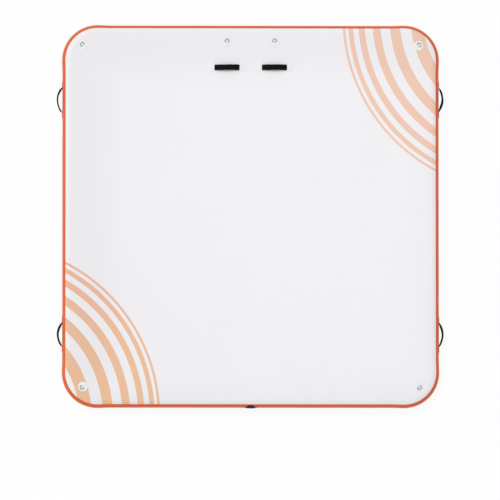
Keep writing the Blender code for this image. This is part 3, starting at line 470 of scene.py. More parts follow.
def piece(name: str, shells: list[Shell], finish: Finish, body: str, stands_for: tuple[str, ...] = (),
          crease: float = 40.0) -> bpy.types.Object:
    """Make one piece from its shells, dress it, and let it ride.

    Args:
        name: the piece's name.
        shells: closed shells, in place.
        finish: its finish.
        body: the CAD body that it rides on, or nothing for a piece that bends between two.
        stands_for: the CAD nodes that it replaces.
        crease: the angle in degrees above which an edge stays sharp.

    Returns:
        The new object, at the origin, with its place in its mesh.
    """
    offsets = np.cumsum([0] + [len(shell.points) for shell in shells])
    points = np.concatenate([shell.points for shell in shells])
    polygons = [faces + offset for shell, offset in zip(shells, offsets) for faces in shell.polygons]
    cloth = np.concatenate([spots.reshape(-1, 2) for shell in shells for spots in shell.cloth])
    corners = np.concatenate([faces.ravel() for faces in polygons])
    sizes = np.concatenate([np.full(len(faces), faces.shape[1]) for faces in polygons])
    mesh = bpy.data.meshes.new(name)
    mesh.vertices.add(len(points))
    mesh.vertices.foreach_set("co", points.astype(np.float32).ravel())
    mesh.loops.add(len(corners))
    mesh.loops.foreach_set("vertex_index", corners.astype(np.int32))
    mesh.polygons.add(len(sizes))
    mesh.polygons.foreach_set("loop_start", np.concatenate([[0], np.cumsum(sizes)[:-1]]).astype(np.int32))
    mesh.update(calc_edges=True)
    layer = mesh.uv_layers.new(name="cloth")
    layer.uv.foreach_set("vector", cloth.astype(np.float32).ravel())
    mesh.validate()
    mesh.shade_smooth()
    mesh.set_sharp_from_angle(angle=math.radians(crease))
    mesh.materials.append(finish.material())
    obj = linked(name, mesh)
    if body:
        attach(obj, body)
    if stands_for:
        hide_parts(*stands_for)
    log.info("%s: %d faces", name, len(sizes))
    return obj


def dress(node: bpy.types.Object, finish: Finish) -> None:
    """Give a node of the frame its finish."""
    node.data.materials.clear()
    node.data.materials.append(finish.material())


def rounded_corner(points: tuple[Three, ...], steps: int = 4) -> Array:
    """Round a profile's corners.

    Args:
        points: (x, y, r) corners, where r is how far the rounding reaches along each side, to nearly half of it.
        steps: the points of each rounding.

    Returns:
        The profile, each corner P a curve (1-t)^2 A + 2 t (1-t) P + t^2 B between the points A and B at r from it.
    """
    nearly_half = 0.49
    spots = np.array([p[:2] for p in points])
    out = [spots[0]]
    t = np.linspace(0, 1, steps)[:, None]
    for before, here, after, (_, _, r) in zip(spots, spots[1:], spots[2:], points[1:-1]):
        if r <= 0:
            out.append(here)
            continue
        sides = ((side, np.linalg.norm(side)) for side in (before - here, after - here))
        a, b = (here + side / size * min(r, size * nearly_half) for side, size in sides)
        out.extend((1 - t) ** 2 * a + 2 * t * (1 - t) * here + t ** 2 * b)
    out.append(spots[-1])
    return np.array(out)


def flat_oval(half_thick: float, half_wide: float, count: int, power: float) -> Array:
    """Return an (out, across) section: T sgn(s)|s|^q and W sgn(c)|c|^q of an angle, closed."""
    angle = TURN * (np.arange(count) + 0.5) / count
    c, s = np.cos(angle), np.sin(angle)
    out = half_thick * np.sign(s) * np.abs(s) ** power
    return np.stack([out, half_wide * np.sign(c) * np.abs(c) ** power], -1)


def turned_section(section: Array, turn: Array) -> Array:
    """Turn (out, across) sections by an angle at each step: (o cos t - a sin t, o sin t + a cos t)."""
    section = np.broadcast_to(section, (len(turn), *section.shape[-2:]))
    c, s = np.cos(turn)[:, None], np.sin(turn)[:, None]
    return np.stack([section[..., 0] * c - section[..., 1] * s, section[..., 0] * s + section[..., 1] * c], -1)


def swept(route: Array, section: Array) -> Array:
    """Carry (out, across) sections along an (along, out) route.

    Args:
        route: N by 2 points.
        section: M by 2, or N by M by 2 where the section changes along the route.

    Returns:
        N by M by 3 local points p + n out, with n the route's normal (-dy, dx) / |d|, and across unchanged.
    """
    slope = np.gradient(route, axis=0)
    slope /= np.linalg.norm(slope, axis=1)[:, None]
    section = np.broadcast_to(section, (len(route), *section.shape[-2:]))
    along = route[:, None, 0] - slope[:, None, 1] * section[..., 0]
    out = route[:, None, 1] + slope[:, None, 0] * section[..., 0]
    return np.stack([out, along, section[..., 1]], -1)


def tube(path: Array, radius: float, sides: int, up: Array, closed: bool = False) -> Shell:
    """Sweep a circle along a path: p + r (n cos a + b sin a), with b = t x up and n = b x t made unit length."""
    ends = np.concatenate([path[-1:], path, path[:1]]) if closed else path
    tangent = np.gradient(ends, axis=0)
    tangent = tangent[1:-1] if closed else tangent
    tangent /= np.linalg.norm(tangent, axis=1)[:, None]
    side = np.cross(tangent, np.broadcast_to(up, path.shape))
    side /= np.linalg.norm(side, axis=1)[:, None]
    normal = np.cross(side, tangent)
    angle = TURN * np.arange(sides) / sides
    ring = np.cos(angle)[None, :, None] * normal[:, None] + np.sin(angle)[None, :, None] * side[:, None]
    return grid_shell(path[:, None] + radius * ring, wrap_rows=closed, caps=not closed)


def turned(profile: Array, sides: int, closed: bool, lift: Lift | None = None, along: float = 0.0) -> Shell:
    """Turn a (radius, out) profile about the out axis: (out + lift(row, along, across, out), r cos a, r sin a).

    Args:
        profile: N by 2 points. One that isn't closed starts and ends near the axis, and is capped there.
        sides: the steps of the turn.
        closed: whether the last point joins the first.
        lift: a function of the row numbers and the local along, across and out, added to out.
        along: how far along the piece its axis stands.

    Returns:
        The shell.
    """
    angle = TURN * (np.arange(sides) + 0.5) / sides
    y = profile[:, None, 0] * np.cos(angle)
    z = profile[:, None, 0] * np.sin(angle)
    x = np.broadcast_to(profile[:, None, 1], y.shape)
    if lift is not None:
        x = x + lift(np.arange(len(profile))[:, None], y, z, x)
    return grid_shell(np.stack([x, y + along, z], -1), wrap_rows=closed, caps=not closed)


def moulding(corners: tuple[Three, ...], sides: int, closed: bool = True, steps: int = 4,
             along: float = 0.0) -> Shell:
    """Turn a section of (radius, out, rounding) corners in millimetres. A closed one ends where it starts."""
    profile = rounded_corner(corners, steps) * MM
    return turned(profile[:-1] if closed else profile, sides, closed, along=along)


# Places and the shape of the edge


def frame_of(origin: tuple, out: tuple, along: tuple, across: tuple) -> Array:
    """Return a 4 by 4 place whose columns are the local axes and the origin."""
    place = np.eye(4)
    place[:3] = np.stack([out, along, across, origin], -1)
    return place


@dataclass(frozen=True)
class EdgeForm:
    """The dock's outline and the half-ellipse section of its edge."""

    width: float = 3.000
    length: float = 3.050
    thickness: float = 0.150
    corner_radius: float = 0.280
    bulge: float = 0.060
    stack: float = 0.0028
    band_depth: float = 0.022
    sway: float = 0.003
    sway_fade: float = 0.110

    @property
    def middle(self) -> float:
        """Half the thickness."""
        return self.thickness / 2

    @property
    def reach(self) -> float:
        """How far the outermost line stands outside the flat deck."""
        return self.bulge + self.stack

    @property
    def lap_angle(self) -> float:
        """The section angle at which the rail's glued edges lie."""
        return math.acos(1 - self.band_depth / self.bulge)

    def section(self, angle: Array, stand_off: Array | float) -> tuple[Array, Array]:
        """Return (reach, height) on the ellipse (b cos a, h sin a), plus stand_off along its unit normal."""
        c, s = np.cos(angle), np.sin(angle)
        nx, nz = c / self.bulge, s / self.middle
        size = np.hypot(nx, nz)
        return self.bulge * c + stand_off * nx / size, self.middle * s + stand_off * nz / size

    def outline(self, corner_steps: int, straight_steps: int) -> tuple[Array, Array, Array, Array]:
        """Walk round the flat deck's outline, each straight in steps of (1 - cos(pi t)) / 2, finer at its ends.

        Returns:
            Points, outward normals, how much of a corner each point is, from 0 to 1, and the running length.
        """
        radius = self.corner_radius - self.reach
        inner = np.array([self.width / 2, self.length / 2]) - self.reach - radius
        centres = inner * np.array([(1, 1), (-1, 1), (-1, -1), (1, -1)])
        ease = (1 - np.cos(np.pi * np.linspace(0, 1, straight_steps + 1)[1:-1]))[:, None] / 2
        points, normals = [], []
        for quarter in range(4):
            angle = (quarter + np.linspace(0, 1, corner_steps + 1)) * math.pi / 2
            normal = np.stack([np.cos(angle), np.sin(angle)], -1)
            bend = centres[quarter] + radius * normal
            end = centres[(quarter + 1) % 4] + radius * normal[-1]
            points += [bend, bend[-1] + ease * (end - bend[-1])]
            normals += [normal, np.repeat(normal[-1:], len(ease), axis=0)]
        points, normals = np.concatenate(points), np.concatenate(normals)
        beyond = np.abs(points) - inner
        corner = np.where(beyond.max(1) > 0, smooth_step(beyond.min(1), -self.sway_fade, 0.0), 0.0)
        return points, normals, corner, lengths(points)

    def skin(self, outline: tuple, reach: Array, height: Array) -> Array:
        """Return stations by section points: outline + normal (reach + sway), at a height over the floor."""
        points, normals, corner, _ = outline
        weight = np.clip(reach / self.bulge, 0, 1)
        far = reach + self.sway * corner[:, None] * weight
        flat = points[:, None] + normals[:, None] * far[..., None]
        rise = np.broadcast_to(self.middle + height, far.shape)
        return np.concatenate([flat, rise[..., None]], -1)

    def on_wall(self, along: Array, across: Array, height: Array) -> Array:
        """Return local points on a straight edge's wall, at a height off the rail's outer face.

        The angle a of a point is asin(across / h), and it stands off along the ellipse's normal there.
        """
        reach, up = self.section(np.arcsin(np.clip(across / self.middle, -1, 1)), self.stack + height)
        return np.stack([reach - self.reach, along + 0 * across, up], -1)

    def drop(self, across: Array) -> Array:
        """Return how far the wall curves back at a height: b (1 - sqrt(1 - (z / h)^2))."""
        return self.bulge * (1 - np.sqrt(1 - np.clip(across / self.middle, -1, 1) ** 2))

    def side_place(self, angle: float, along: float) -> Array:
        """Return the place on a straight edge's outermost line, facing an angle from the world's +X."""
        c, s = math.cos(angle), math.sin(angle)
        half = self.width / 2 if abs(s) < 0.5 else self.length / 2
        spot = c * half - s * along, s * half + c * along, self.middle
        return frame_of(spot, (c, s, 0), (-s, c, 0), (0, 0, 1))

    def deck_place(self, x: float, y: float, heading: float) -> Array:
        """Return the place on the deck with local along on a heading from the world's +X."""
        c, s = math.cos(heading), math.sin(heading)
        return frame_of((x, y, self.thickness), (0, 0, 1), (c, s, 0), (-s, c, 0))


EDGE = EdgeForm()
VALVE_PLACE = EDGE.side_place(-math.pi / 2, 0.0)


# Air chamber


@dataclass
class AirChamber:
    """The two skins, the glued rail, and the inner pieces that the frame brings.

    Drift, swing and slack are waves along the edge. The pairs are where a smooth step starts and ends.
    """

    sheet_wall: float = 1.5 * MM
    sheet_rings: tuple[float, ...] = (0.01, 0.2, 0.4, 0.6, 0.75, 0.85, 0.92, 0.97)
    sheet_end: float = 0.6
    band_wall: float = 1.2 * MM
    band_lift: float = 1.6 * MM
    band_lap: Pair = (0.03, 0.2)
    fine_rows: float = 0.72
    pucker: float = 0.7 * MM
    pucker_length: float = 21 * MM
    pucker_drift: tuple[Three, ...] = ((1.3, 9, 0), (0.8, 23, 0))
    pucker_level: float = 0.7
    pucker_swing: tuple[Three, ...] = ((0.3, 31, 0),)
    pucker_corner: Pair = (0.55, 1.0)
    pucker_rise: Pair = (0.25, 0.85)
    pucker_glued: Pair = (0.93, 1.0)
    pucker_depth: float = 0.6
    slack: tuple[Three, ...] = ((0.35 * MM, 5.1, 0), (0.35 * MM, 8.3, 1))
    slack_rise: Pair = (0, 0.4)
    seam_place: float = -0.68
    seam_width: float = 0.04
    seam_wall: float = 0.6 * MM
    seam_slope: float = 1 * MM
    hole: tuple[Pair, ...] = ((0.2, 10), (24.3, 10), (24.3, -20), (0.2, -20))

    def build(self, nodes: dict) -> None:
        """Build the chamber's pieces and dress the inner nodes."""
        self.skin("deck_skin", 1, DECK_PVC, "deck_pvc", "deck_sheet")
        self.skin("bottom_skin", -1, BOTTOM_PVC, "bottom_pvc", "bottom_sheet")
        self.cut_valve_hole(self.rail())
        dress(nodes["inner_rail_band"], INNER_PVC)
        dress(nodes["drop_stitch_core"], CORE_CLOTH)

    def skin(self, name: str, side: int, finish: Finish, slot: str, node: str) -> None:
        """Build one sheet, flat, with its margin rolled down: rings of the outline shrunk to the middle, then the
        ellipse from 90 degrees to its end, outside and back inside.
        """
        outline = EDGE.outline(corner_steps=24, straight_steps=40)
        angle = np.linspace(math.pi / 2, EDGE.lap_angle * self.sheet_end, 16)
        shrink = np.array(self.sheet_rings)[None, :, None]
        faces = []
        for off in (0.0, -self.sheet_wall):
            reach, height = EDGE.section(angle, off)
            rolled = EDGE.skin(outline, reach, side * height)
            flat = rolled[:, :1] * np.concatenate([shrink, shrink, 0 * shrink + 1], -1)
            faces.append(np.concatenate([flat, rolled], 1).transpose(1, 0, 2))
        rows = np.concatenate([faces[0], faces[1][::-1]])
        piece(name, [grid_shell(rows, caps=True)], finish, "dock", (node,))

    def rail(self) -> bpy.types.Object:
        """Build the rail: an ellipse band lapped on the sheets, with puckers A w cos(2 pi s / p) at its corners.

        A share of the section is -1 at the lower glued edge and 1 at the upper one. The puckers' phase drifts and
        their size swings along the edge, and they press in by no more than a share of the band's lift.
        """
        outline = EDGE.outline(corner_steps=100, straight_steps=60)
        points, _, corner, run = outline
        fine = np.linspace(self.fine_rows, 1, 9)
        share = np.concatenate([-fine[::-1], np.linspace(-self.fine_rows, self.fine_rows, 25)[1:-1], fine])
        size = np.abs(share)
        lift = GLUE + (self.band_lift - GLUE) * smooth_step(1 - size, *self.band_lap)
        phase = TURN * run / self.pucker_length + waves(run, *self.pucker_drift)
        tight = smooth_step(corner, *self.pucker_corner) * (self.pucker_level + waves(run, *self.pucker_swing))
        fold = self.pucker * (tight * np.cos(phase))[:, None] * smooth_step(size, *self.pucker_rise)
        fold *= 1 - self.pucker_depth * smooth_step(size, *self.pucker_glued)
        under = lift + np.maximum(fold, -lift * self.pucker_depth)
        off_seam = np.abs(points[:, 0] - self.seam_place)
        seam = smooth_step(self.seam_width / 2 - off_seam, 0, self.seam_slope) * (points[:, 1] > 0)
        slack = waves(run, *self.slack)[:, None] * smooth_step(1 - size, *self.slack_rise)
        top = under + self.band_wall + self.seam_wall * seam[:, None] + np.abs(slack)
        outer = EDGE.skin(outline, *EDGE.section(EDGE.lap_angle * share, top))
        inner = EDGE.skin(outline, *EDGE.section(EDGE.lap_angle * share[::-1], under[:, ::-1]))
        shell = grid_shell(np.concatenate([outer, inner], 1), wrap_rows=True)
        return piece("rail_band", [shell], RAIL_PVC, "dock", ("outer_rail_band",))

    def cut_valve_hole(self, rail: bpy.types.Object) -> None:
        """Cut the barrel's hole through the rail in the middle of the front edge."""
        plug = turned(np.array(self.hole) * MM, sides=72, closed=False).placed(VALVE_PLACE).outward()
        mesh = bpy.data.meshes.new("hole")
        mesh.from_pydata(plug.points.tolist(), [], [f for faces in plug.polygons for f in faces.tolist()])
        cutter = linked("hole", mesh)
        cut = rail.modifiers.new("hole", "BOOLEAN")
        cut.operation, cut.object, cut.solver = "DIFFERENCE", cutter, "EXACT"
        bpy.context.view_layer.update()
        graph = bpy.context.evaluated_depsgraph_get()
        whole = bpy.data.meshes.new_from_object(rail.evaluated_get(graph))
        rail.modifiers.clear()
        rail.data = whole
        bpy.data.objects.remove(cutter)


# Hardware


@dataclass
class Fitting:
    """A piece of hardware that is worked out in the local frame of its place."""

    name: str
    place: Array

    def put(self, name: str, shells: list[Shell], finish: Finish, slot: str, *nodes: str, body: str = "dock",
            crease: float = 40.0) -> bpy.types.Object:
        """Make one piece of the fitting from its local shells."""
        return piece(name, [shell.placed(self.place) for shell in shells], finish, body, nodes, crease)


@dataclass
class RingStation(Fitting):
    """A round patch with a window, the webbing loop that comes out of it, and the ring on the loop.

    A foot is how far the cover's foot stands out and how long its rise is. The rims are where a smooth step starts
    and ends, in from the patch's rim. The fall is where the cover sinks beside the window, for how long and by
    which share.
    """

    wire: float = 4.5 * MM
    bend: float = 4.0 * MM
    bow_start: float = 6.0 * MM
    half_width: float = 16.5 * MM
    forward: float = 2.0 * MM
    bar_height: float = 4.4 * MM
    loop_width: float = 25 * MM
    loop_wall: float = 1.2 * MM
    loop_gap: float = 0.35 * MM
    loop_turn: Pair = (-90, 125)
    loop_step: float = 0.05 * MM
    tail: float = 26 * MM
    tail_flat: float = 12 * MM
    wall: float = 1.2 * MM
    cover_top: float = 4.5 * MM
    window: Pair = (-7.0 * MM, 7.5 * MM)
    window_fall: Three = (1 * MM, 12 * MM, 0.75)
    side_foot: Pair = (3.6 * MM, 2.4 * MM)
    back_foot: Pair = (4.4 * MM, 3.2 * MM)
    front_foot: Pair = (4.0 * MM, 3.5 * MM)
    rim: Pair = (-0.9 * MM, 1.1 * MM)
    inner_rim: Pair = (-0.5 * MM, 1 * MM)
    least_walls: Pair = (0.1 * MM, 0.8 * MM)
    play: Pair = (0.2 * MM, 0.5 * MM)

    def build(self) -> None:
        """Build the station's three pieces."""
        self.put(f"patch_{self.name}", [self.patch()], PATCH_PVC, "deck_pvc", f"ring_patch_{self.name}")
        self.put(f"loop_{self.name}", [self.loop()], WHITE_WEBBING, "white_webbing", f"ring_loop_{self.name}")
        self.put(f"ring_{self.name}", [self.ring()], RING_STEEL, "ring_steel", f"d_ring_{self.name}",
                 body=f"ring_{self.name}")

    def patch(self) -> Shell:
        """A disc whose cover rises over the tails.

        The square grid (x, y) becomes the disc r (x sqrt(1 - y^2 / 2), y sqrt(1 - x^2 / 2)), and the cells in the
        window are left out. The top is plate + (cover - plate) m, where m falls off smoothly round the tails.
        """
        side = np.linspace(-1, 1, 121)
        x, y = np.meshgrid(side, side, indexing="ij")
        along = RING_PATCH * x * np.sqrt(1 - y ** 2 / 2)
        across = RING_PATCH * y * np.sqrt(1 - x ** 2 / 2)
        inset, aside = RING_PATCH - np.hypot(along, across), np.abs(across)
        half = self.loop_width / 2 + GLUE
        back, front = self.window
        start, length, share = self.window_fall
        over = foot(half - aside, self.side_foot) * foot(along + self.tail, self.back_foot)
        over *= foot(front - along, self.front_foot) * (1 - smooth_step(along - back - start, 0, length) * share)
        plate = GLUE + self.wall * smooth_step(inset, *self.rim)
        top = plate + (self.cover_top - plate) * over
        pocket = (aside < half + self.play[0]) & (along > -self.tail - self.play[1]) & (along < 0)
        at_rim, within = self.least_walls
        under = np.minimum(np.where(pocket, self.cover_top - self.wall, GLUE),
                           top - within * smooth_step(inset, *self.inner_rim) - at_rim)
        y, z = ((grid[:-1, :-1] + grid[1:, 1:]) / 2 for grid in (along, across))
        hole = (y > back) & (y < front) & (np.abs(z) < half)
        return double_sheet(np.stack([top, along, across], -1), np.stack([under, along, across], -1), ~hole,
                            np.stack([along, across], -1))

    def loop(self) -> Shell:
        """Webbing out along the deck, 215 degrees round the bar and back, its corners cut three times."""
        low = GLUE + self.loop_wall / 2
        high = low + self.loop_wall + GLUE
        radius = (self.wire + self.loop_wall) / 2 + self.loop_gap
        angle = np.radians(np.linspace(*self.loop_turn, 24))
        turn = np.stack([self.forward + radius * np.cos(angle), self.bar_height + radius * np.sin(angle)], -1)
        route = np.concatenate([[[-self.tail, low], [-self.tail_flat, low], [self.forward - radius, low]], turn,
                                [[self.window[0] + 1 * MM, high], [-self.tail_flat, high], [-self.tail, high]]])
        for _ in range(3):
            near, far = route[:-1] * 0.75 + route[1:] * 0.25, route[:-1] * 0.25 + route[1:] * 0.75
            route = np.concatenate([route[:1], np.stack([near, far], 1).reshape(-1, 2), route[-1:]])
        keep = np.concatenate([[True], np.diff(lengths(route)) > self.loop_step])
        section = flat_oval(self.loop_wall / 2, self.loop_width / 2, count=28, power=0.2)
        return grid_shell(swept(route[keep], section), caps=True)

    def ring(self) -> Shell:
        """A bent rod: a straight bar, two bends, two legs and half a circle, swept with a circle."""
        a = np.linspace(0, math.pi / 2, 10)[:, None]
        bend = np.concatenate([self.bend * (1 - np.cos(a)), self.loop_width / 2 + self.bend * np.sin(a)], 1)
        b = np.linspace(0, math.pi, 49)[:, None]
        bow = np.concatenate([self.bow_start + self.half_width * np.sin(b), self.half_width * np.cos(b)], 1)
        bar = np.stack([np.zeros(14), np.linspace(-self.loop_width / 2, self.loop_width / 2, 16)[1:-1]], -1)
        flat = np.concatenate([bend, bow, bend[::-1] * [1, -1], bar])
        path = np.stack([np.full(len(flat), self.bar_height), flat[:, 0] + self.forward, flat[:, 1]], -1)
        return tube(path, self.wire / 2, sides=20, up=np.array([1.0, 0.0, 0.0]), closed=True)


class HandleKind(Enum):
    """Where a grab handle sits."""

    DECK = "deck"
    SIDE = "side"


@dataclass
class GrabHandle(Fitting):
    """A webbing strap, its padded sleeve, the stitches that close the sleeve, and two welded end patches.

    Rows and ends are distances from the sleeve's or the strap's edges. A dip is (depth, half width), a stitch is
    (length, pitch), and a foot is how far the cover's foot stands out and how long its rise is. The mouth's edge
    says how far beside and behind its mouth the patch keeps its wall, as if it were the third number in from its
    rim.
    """

    kind: HandleKind
    span: float
    rise: float
    strap_width: float
    skew: float = 0.0
    steepness: Pair = (1.25, 1.25)
    swell: float = 0.0
    twist: float = 0.0
    twist_place: float = 0.5
    twist_reach: float = 0.2
    edge_sway: Pair = (0.0, 0.0)
    strap_wall: float = 2.0 * MM
    tail: float = 37 * MM
    sleeve_wall: float = 3.2 * MM
    sleeve_gap: float = 1.2 * MM
    sleeve_lift: float = 0.4 * MM
    sleeve_play: float = 0.25 * MM
    roundness: float = 0.5
    pinch: float = 0.62
    edge_share: float = 0.9
    pinch_length: float = 16 * MM
    crown_length: float = 45 * MM
    ripple: Three = (0.03, 17, 0)
    waver: Three = (0.3 * MM, 23, 1)
    rows: Pair = (5 * MM, 8 * MM)
    row_dip: Pair = (0.7 * MM, 1.1 * MM)
    row_ends: Pair = (1 * MM, 3 * MM)
    row_stitch: Pair = (2.5 * MM, 3.2 * MM)
    channel_inset: float = 5 * MM
    channel_dip: Pair = (0.45 * MM, 0.9 * MM)
    channel_ends: Pair = (13 * MM, 15 * MM)
    channel_stitch: Pair = (3.0 * MM, 4.0 * MM)
    thread: float = 0.3 * MM
    thread_sunk: float = 0.6 * MM
    thread_arch: float = 0.7 * MM
    patch_length: float = 48 * MM
    patch_margin: float = 16 * MM
    patch_round: float = 12 * MM
    patch_wall: float = 1.2 * MM
    patch_rim: Pair = (-0.7 * MM, 0.9 * MM)
    cover_top: float = 3.8 * MM
    least_wall: float = 0.35 * MM
    mouth: float = 3 * MM
    mouth_edge: Three = (1.3 * MM, 1.5 * MM, 2 * MM)
    side_foot: Pair = (3.4 * MM, 2.1 * MM)
    back_foot: Pair = (5.0 * MM, 3.0 * MM)
    tail_room: float = 0.4 * MM

    def build(self) -> None:
        """Build the handle's pieces."""
        whole = f"{self.kind.value}_handle_{self.name}"
        self.put(f"{whole}_webbing", [self.strap()], BLACK_WEBBING, "black_webbing", f"{whole}_strap")
        pad = self.put(f"{whole}_pad", [self.sleeve()], NEOPRENE, "neoprene", f"{whole}_sleeve", crease=60)
        self.put(f"{whole}_stitches", self.stitches(), THREAD, "neoprene")
        finish, slot = (RAIL_PATCH_PVC, "rail_pvc") if self.kind is HandleKind.SIDE else (PATCH_PVC, "deck_pvc")
        for end, turn in (("a", 1), ("b", -1)):
            self.put(f"{whole}_weld_{end}", [self.patch(turn)], finish, slot, f"{whole}_patch_{end}")

    @property
    def sleeve_start(self) -> float:
        """The bow angle at which the strap stands far enough off its ground for the sleeve, r sin^k a = gap."""
        return math.asin((self.sleeve_gap / self.rise) ** (1 / max(self.steepness)))

    @property
    def sleeve_length(self) -> float:
        """How long the bow is between the sleeve's ends."""
        return lengths(self.route(np.linspace(self.sleeve_start, math.pi - self.sleeve_start, 64)))[-1]

    def route(self, angle: Array) -> Array:
        """Return (along, out) of the bow: (-s/2 cos a, r sin^k a), its top moved along by the skew.

        The steepness k goes from its first value to its second over the middle of the bow.
        """
        first, second = self.steepness
        steep = first + (second - first) * smooth_step(angle, math.pi / 3, 2 * math.pi / 3)
        rise = np.clip(np.sin(angle), 0, None) ** steep
        along = -self.span / 2 * np.cos(angle) + self.skew * rise ** 2
        return np.stack([along, GLUE + self.strap_wall / 2 + self.rise * rise], -1)

    def turn_at(self, share: Array) -> Array:
        """Return how far the webbing is turned about its own line, t exp(-((s - p) / w)^2) sin(pi s)^(1/2)."""
        share = np.clip(share, 0, 1)
        near = np.exp(-((share - self.twist_place) / self.twist_reach) ** 2)
        return self.twist * near * np.sqrt(np.sin(math.pi * share) + 1e-9)

    def strap(self) -> Shell:
        """The strap from tail to tail, a flat rounded section."""
        angle = np.linspace(0, math.pi, 97)
        bow = self.route(angle)
        tails = np.linspace(self.span / 2, self.span / 2 + self.tail, 14)[1:]
        low = np.full(len(tails), bow[0, 1])
        whole = np.concatenate([np.stack([-tails[::-1], low], -1), bow, np.stack([tails, low], -1)])
        start = self.sleeve_start
        share = np.concatenate([tails * 0, (angle - start) / (math.pi - 2 * start), tails * 0])
        section = flat_oval(self.strap_wall / 2, self.strap_width / 2, count=32, power=0.18)
        return grid_shell(swept(whole, turned_section(section, self.turn_at(share))), caps=True)

    def sleeve_size(self, share: Array) -> tuple[Array, Array]:
        """Return the sleeve's half thickness and half width at each share of its length.

        It is pinched at both ends, drawn in at the stitch rows by narrow dips exp(-d^2), and crowned between.
        """
        from_end = np.minimum(share, 1 - share) * self.sleeve_length
        pinch = self.pinch + (1 - self.pinch) * smooth_step(from_end, 0.0, self.pinch_length)
        depth, width = self.row_dip
        dips = depth * sum(np.exp(-((from_end - row) / width) ** 2) for row in self.rows)
        crown = self.swell * smooth_step(from_end, 0.0, self.crown_length)
        thick = (self.strap_wall / 2 + GLUE + self.sleeve_wall * pinch) * (1 + waves(share, self.ripple)) + crown
        wide = self.strap_width / 2 + GLUE + self.sleeve_wall * (self.edge_share + (1 - self.edge_share) * pinch)
        return thick - dips, wide + waves(share, self.waver)

    def sleeve_points(self, share: Array, out: Array, across: Array, padded: bool = True) -> Array:
        """Carry points of the sleeve's section to their place on the bow.

        Args:
            share: where along the sleeve, from 0 to 1.
            out: how far out of the strap's middle.
            across: how far across it.
            padded: whether the point moves with the padding, which stands off the ground and sways.

        Returns:
            Local points c + n o + z a, with c the bow's point, n its normal, and (o, a) turned with the webbing.
        """
        angle = self.sleeve_start + share * (math.pi - 2 * self.sleeve_start)
        centre = self.route(angle)
        step = self.route(angle + 1e-4) - self.route(angle - 1e-4)
        slope = step / np.linalg.norm(step, axis=-1, keepdims=True)
        if padded:
            out = out + np.clip(self.sleeve_size(share)[0] + self.sleeve_lift - centre[..., 1], 0, None)
            whole, halves = self.edge_sway
            across = across + waves(share, (whole, math.pi, 0), (halves, TURN, 0))
        turn = self.turn_at(share)
        c, s = np.cos(turn), np.sin(turn)
        out, across = out * c - across * s, out * s + across * c
        return np.stack([centre[..., 1] + slope[..., 0] * out, centre[..., 0] - slope[..., 1] * out,
                         across + 0 * out], -1)

    def face_height(self, share: Array, across: Array) -> Array:
        """Return how far the padding's face stands out, T (1 - |a / W|^(2 / q))^(q / 2)."""
        thick, wide = self.sleeve_size(share)
        return thick * (1 - np.clip(np.abs(across) / wide, 0, 1) ** (2 / self.roundness)) ** (self.roundness / 2)

    def sleeve(self) -> Shell:
        """The padded tube: an outer flat oval with two sewn channels, and an inner slot, joined at both ends."""
        sides, play = 96, self.sleeve_play
        share = np.linspace(0, 1, 110)[:, None]
        thick, wide = self.sleeve_size(share)
        out, across = flat_oval(1.0, 1.0, sides, self.roundness).T
        depth, width = self.channel_dip
        channel = depth * np.exp(-((np.abs(wide * across) - (wide - self.channel_inset)) / width) ** 2)
        outer = self.sleeve_points(share, thick * out - channel * np.sign(out), wide * across)
        slot = flat_oval(self.strap_wall / 2 + play, self.strap_width / 2 + play, sides, power=0.2)
        hollow = self.sleeve_points(share, *slot.T, padded=False)
        return grid_shell(np.concatenate([outer, hollow[::-1]]), wrap_rows=True)

    def stitches(self) -> list[Shell]:
        """Lock stitches: two rows across each end and one along each channel, on both faces, as arched tubes."""
        length, half = self.sleeve_length, self.strap_width / 2
        channel = float(self.sleeve_size(np.array(0.5))[1]) - self.channel_inset
        t = np.linspace(0, 1, 7)
        (first, last), (size, pitch) = self.row_ends, self.row_stitch
        spots = [(share + 0 * t, start + size * t) for row in self.rows
                 for share in (row / length, 1 - row / length)
                 for start in np.arange(first - half, half - last, pitch)]
        (first, last), (size, pitch) = self.channel_ends, self.channel_stitch
        spots += [((start + size * t) / length, across + 0 * t) for across in (-channel, channel)
                  for start in np.arange(first, length - last, pitch)]
        shells = []
        for share, across in spots:
            height = self.face_height(share, across) - self.thread_sunk + self.thread_arch * np.sin(math.pi * t)
            for face in (1, -1):
                path = self.sleeve_points(share, face * height, across)
                up = self.sleeve_points(share, face * (height + 1 * MM), across) - path
                shells.append(tube(path, self.thread, sides=6, up=up))
        return shells

